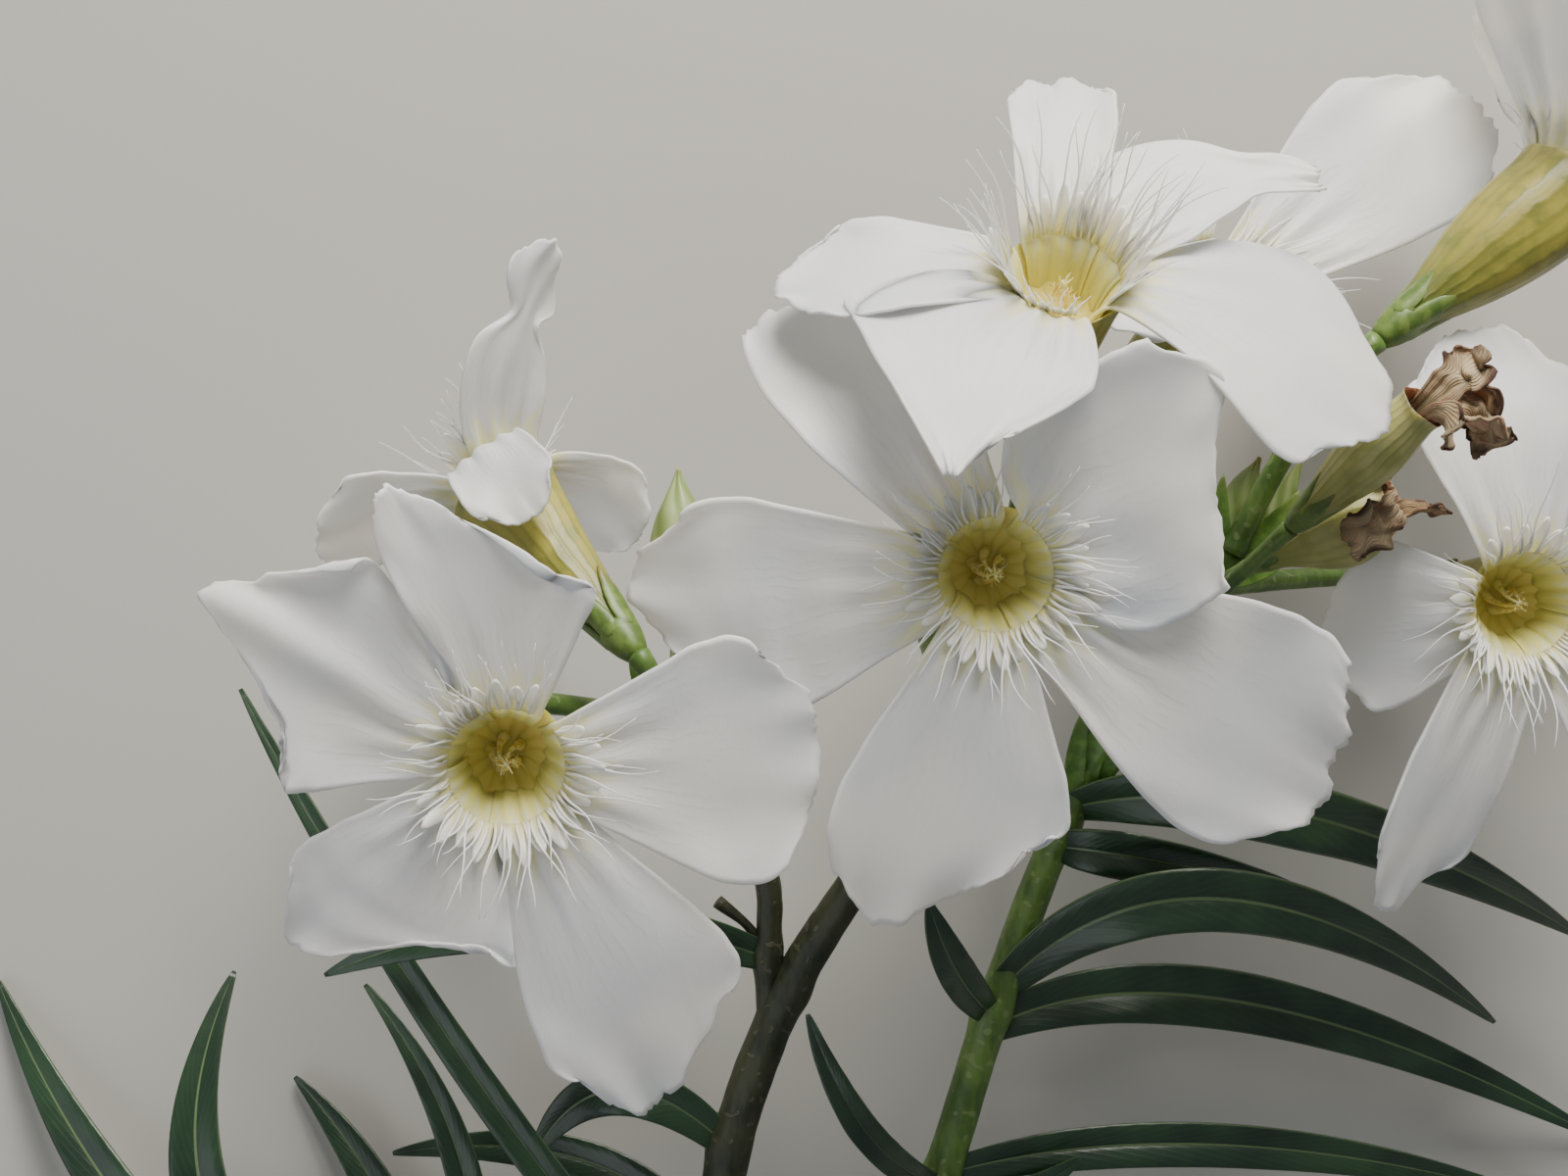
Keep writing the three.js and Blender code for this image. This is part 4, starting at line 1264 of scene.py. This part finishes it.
def stalk_path(bloom):
    """A stalk's curve from its stem to the foot of the calyx, which it meets square."""
    out = Vector(bloom.face).normalized()
    end = Vector(bloom.at) - out * bloom.size * CALYX_FOOT
    start = Vector(bloom.stalk_from)
    before = end - out * 0.35 * (start - end).length
    after = start.lerp(before, 0.4)
    path = []
    for i in range(STALK_STEPS + 1):
        t = i / STALK_STEPS
        leaving = start * (1 - t) ** 3 + after * 3 * t * (1 - t) ** 2
        path.append(leaving + before * 3 * t * t * (1 - t) + end * t**3)
    return path


def stalk_swell(place, turn, along):
    """A stalk widens a little where it joins its stem and under the calyx."""
    return 0.22 * math.exp(-along * 14) + 0.18 * math.exp(-(1 - along) * 12) + 0.04 * waver(place, 1.2)


# %% Blooms, calyces and stalks
def petals_with_seeds(bloom, bloom_number):
    """Each petal's row, and where in the noise its ruffles start."""
    return [(row, bloom_number * 11 + j * 1.7) for j, row in enumerate(bloom.petals)]


draw = random.Random(7)
for i, (name, bloom) in enumerate(BLOOMS.items()):
    stand = bloom_matrix(bloom)
    rows = petals_with_seeds(bloom, i)
    sheets = [petal_sheet(row, seed) for row, seed in rows]
    inner = threads_of(bloom, draw) + stamens_of(draw)
    scales = [scale_sheet(row, bloom.threads_stand, seed) for row, seed in rows]
    stalk = limb(stalk_path(bloom), STALK_RADII, STALK_SIDES, stalk_swell)
    node = f"bloom_{name}"
    piece(f"petals_{name}", placed(sheets, stand), [petal_white], node, PETAL_WALL)
    tube = placed(reshaped([tube_skin(i)], bloom.tube), stand)
    piece(f"tube_{name}", tube, [tube_outer, throat_yellow], node)
    piece(f"threads_{name}", placed(inner, stand), [thread_white, anther_cream], node)
    piece(f"scales_{name}", placed(scales, stand), [scale_cream], node, SCALE_WALL)
    piece(f"calyx_{name}", placed(calyx_parts(i), stand), [calyx_green], f"calyx_{name}")
    piece(f"stalk_{name}", [stalk], [green_stem], f"pedicel_{name}")
print("blooms:", len(BLOOMS))

# %% [markdown]
# ## Spent blooms
#
# Two blooms have withered. Their tubes are still yellow-green and full in the middle, but they
# close towards the mouth, where the petals have shrunk to brown, rolled rags. Tube and rags are
# those of a fresh bloom, reshaped by a row of widths, and strong noise crumples the rags.

# %% Spent blooms
SPENT = {
    "upper": Bloom((49.3, 14.8, 46.2), (0.55, 0.6, 0.58), (31.8, -5.5, 21.2), [
        Petal(22, 8, 7, 60, 40, (0.5, 0.75, 1, 0.9, 0.7), cup=0.2, twist=20, sweep=20),
        Petal(0, 8, 6, 40, -60, cup=0.3, twist=-60, sweep=-60),
        Petal(-50, 9, 6, 40, -60, cup=0.3, twist=70, sweep=50),
        Petal(250, 5, 5, 50, -40, cup=0.3, twist=60, sweep=-40),
    ], size=0.72, tube=(0.5, 0.54, 0.7, 0.92, 1.1, 1.18, 1.14, 1.08, 1)),
    "lower": Bloom((49.8, 7.7, 35.8), (0.78, 0.4, 0.47), (38.2, 0.8, 22.8), [
        Petal(-40, 5, 6, 60, 20, cup=0.3, twist=40),
        Petal(205, 8.5, 6, -20, -100, cup=0.3, sweep=-10),
        Petal(120, 5, 6, 20, -70, cup=0.3, twist=40, sweep=60),
    ], size=0.64, tube=(0.5, 0.7, 1.15, 1.6, 1.85, 1.8, 1.5, 1.2, 1)),
}


def withered_finish(name, pale, tan, burnt_colour, burnt_from):
    finish = Finish(name)
    across, along = finish.across_and_along()
    cloud = finish.blotches(420, 4)
    off_middle = abs(across - 0.5)
    burnt = off_middle.ramp(0.32, 0.5) * 0.55 + along.ramp(burnt_from, 1.0) * 0.6
    burnt = burnt + cloud.ramp(0.5, 0.72) * 0.5
    fan = abs((across * 60 + cloud * 5).sine()) ** 3
    papery = finish.mix(cloud.ramp(0.35, 0.65), pale, tan)
    finish.set(base_color=finish.mix(burnt.ramp(0.3, 0.9), papery, burnt_colour), roughness=0.75)
    finish.set(subsurface_weight=0.25, subsurface_scale=0.0008)
    finish.relief(fan * 0.5 + cloud * 0.5, 0.12)
    return finish.material


withered = withered_finish(
    "withered", rgb(0.42, 0.33, 0.20), rgb(0.21, 0.135, 0.065), rgb(0.05, 0.022, 0.01), 0.6
)
wilted_tube = tube_finish(
    "wilted_tube", rgb(0.24, 0.26, 0.06), rgb(0.45, 0.43, 0.16), rgb(0.50, 0.42, 0.20)
)

# %% Wilting
FIRST_SPENT = 20
CRUMPLE = 1.5
CRUMPLE_SIZE = 1.9
SEEDS_APART = 31


def crumple(parts, seed):
    """Pushes the corners of withered petals about by strong noise, the more the further out."""
    seeds = [seed + axis * SEEDS_APART for axis in range(3)]
    for part in parts:
        for corner in part.verts:
            away = min(1, max(0, corner.co.z + MOUTH_DEPTH + corner.co.xy.length - MOUTH_RADIUS) / 3)
            push = Vector([waver(corner.co, CRUMPLE_SIZE, one) for one in seeds])
            corner.co += push * CRUMPLE * away
    return parts


for i, (name, bloom) in enumerate(SPENT.items()):
    stand = bloom_matrix(bloom)
    sheets = [petal_sheet(row, seed) for row, seed in petals_with_seeds(bloom, FIRST_SPENT + i)]
    rags = placed(crumple(reshaped(sheets, bloom.tube), i * 9), stand)
    tube = placed(reshaped([tube_skin(i + 8)], bloom.tube), stand)
    calyx = placed(calyx_parts(i), stand)
    radii = [radius * bloom.size for radius in STALK_RADII]
    stalk = limb(stalk_path(bloom), radii, STALK_SIDES, stalk_swell)
    node = f"bloom_spent_{name}"
    piece(f"petals_spent_{name}", rags, [withered], node, PETAL_WALL)
    piece(f"tube_spent_{name}", tube, [wilted_tube, withered], node)
    piece(f"calyx_spent_{name}", calyx, [calyx_green], f"calyx_spent_{name}")
    piece(f"stalk_spent_{name}", [stalk], [green_stem], f"pedicel_spent_{name}")
print("spent blooms:", len(SPENT))

# %% [markdown]
# ## Buds
#
# In a bud the five petals are wound round each other like a furled umbrella. The limb's own
# swell does that here: five ridges that turn as they climb to the point.

# %% Buds
BUDS = {
    "left": (
        [(-9.4, -10.6, 25.2), (-8.9, -3, 26), (-8.8, 4, 26.3), (-8.8, 10, 26.5)],
        [0.5, 0.5, 0.7, 2.3, 1.9, 0.1],
    ),
    "right_1": ([(36.8, 1.8, 23.4), (38, 6.5, 23.6), (40, 11, 25)], [0.5, 1.1, 1.5, 1.0, 0.1]),
    "right_2": ([(38, 2.6, 23.6), (41.5, 6.2, 22.6), (43.8, 10.8, 23.5)], [0.5, 1.0, 1.25, 0.9, 0.1]),
    "middle": ([(13.8, -12, 23.2), (12, -3, 28), (9, 2, 33)], [0.5, 0.7, 1.3, 1.1, 0.1]),
}


def bud_finish():
    finish = Finish("bud")
    across, along = finish.across_and_along()
    wound = abs(((across * 5 + along * 3) * math.pi).sine()) ** 3
    green = finish.mix(along.ramp(0.3, 0.7), rgb(0.10, 0.18, 0.035), rgb(0.22, 0.31, 0.09))
    finish.set(base_color=finish.mix(wound * 0.35, green, rgb(0.48, 0.53, 0.28)), roughness=0.42)
    finish.set(subsurface_weight=0.3, subsurface_scale=0.0008)
    finish.relief(wound, 0.08)
    return finish.material


BUD_STEP = 0.25
BUD_SIDES = 30
WOUND_RIDGE = 0.09


def wound_up(place, turn, along):
    """Five ridges that turn as they climb."""
    return WOUND_RIDGE * math.sin(5 * turn + 6 * math.pi * along) * min(1, 2 * along)


bud_green = bud_finish()
for name, (line, radii) in BUDS.items():
    bud = limb(curve_through(line, BUD_STEP), radii, BUD_SIDES, wound_up)
    piece(f"bud_{name}", [bud], [bud_green], f"bud_{name}")
print("buds:", len(BUDS))

# %% [markdown]
# ## Bracts and a stub
#
# Where stalks leave a stem, each sits in the corner of a small pointed bract, and the green
# stem carries a tuft of them below the middle bloom. On the old stem, a twig that fell away has
# left a short stub, and a leaf that fell has left a bump. These have no solid of their own.

# %% Bracts and the stub
BRACTS = [
    ((25.8, -19, 18.4), (26.0, -13, 21), (28.4, -8.2, 22.5), 2.4),
    ((26.4, -18, 18.6), (28.4, -13.4, 21.5), (31.6, -10.6, 23.5), 2.0),
    ((25.2, -20, 18.2), (24.6, -14.5, 20.6), (25.8, -9.6, 22.6), 1.8),
    ((37.4, 2, 24.2), (40, 4, 26.4), (43, 8.2, 27), 1.9),
    ((37.0, 2.6, 24), (36, 6, 26), (36.6, 9.6, 27), 1.7),
    ((36.2, 0.6, 23), (39.6, 0.6, 24.2), (42.6, 2.6, 25), 1.5),
    ((15.6, -8, 24), (14.6, -4.4, 26.4), (14.8, -1.8, 29), 1.5),
    ((-10.4, -10.8, 25.4), (-12.4, -7.6, 27), (-12.6, -4.6, 29), 1.4),
    ((-10, -11, 25.4), (-8, -9.4, 27.6), (-5.6, -8.4, 29.4), 1.4),
]
BRACT_STEPS = 16
BRACT_WIDTHS = [0.5, 0.95, 1, 0.7, 0.12]
BRACT_WALL = 0.3
STUB = [(-1.5, -32.2, 15.6), (-3.2, -29.6, 16.4), (-5.8, -27.4, 17)]
STUB_RADII = [0.62, 0.42, 0.62]


def bract(root, bend, tip, width):
    """A bract's blade on a curve that bends once, flat towards the viewer."""
    root, bend, tip = Vector(root), Vector(bend), Vector(tip)
    path = []
    for i in range(BRACT_STEPS + 1):
        t = i / BRACT_STEPS
        path.append(root * (1 - t) ** 2 + bend * 2 * t * (1 - t) + tip * t * t)
    side = (tip - root).cross(UP).normalized()
    return blade_skin(path, side, [width * share for share in BRACT_WIDTHS], BRACT_WALL)


bract_green = green_finish(
    "bract_green", rgb(0.075, 0.165, 0.025), rgb(0.14, 0.27, 0.045), rgb(0.20, 0.26, 0.07)
)
piece("bracts", [bract(*row) for row in BRACTS], [bract_green])
piece("stub", [limb(curve_through(STUB, STEM_STEP), STUB_RADII, STALK_SIDES)], [old_stem])
print("bracts:", len(BRACTS))
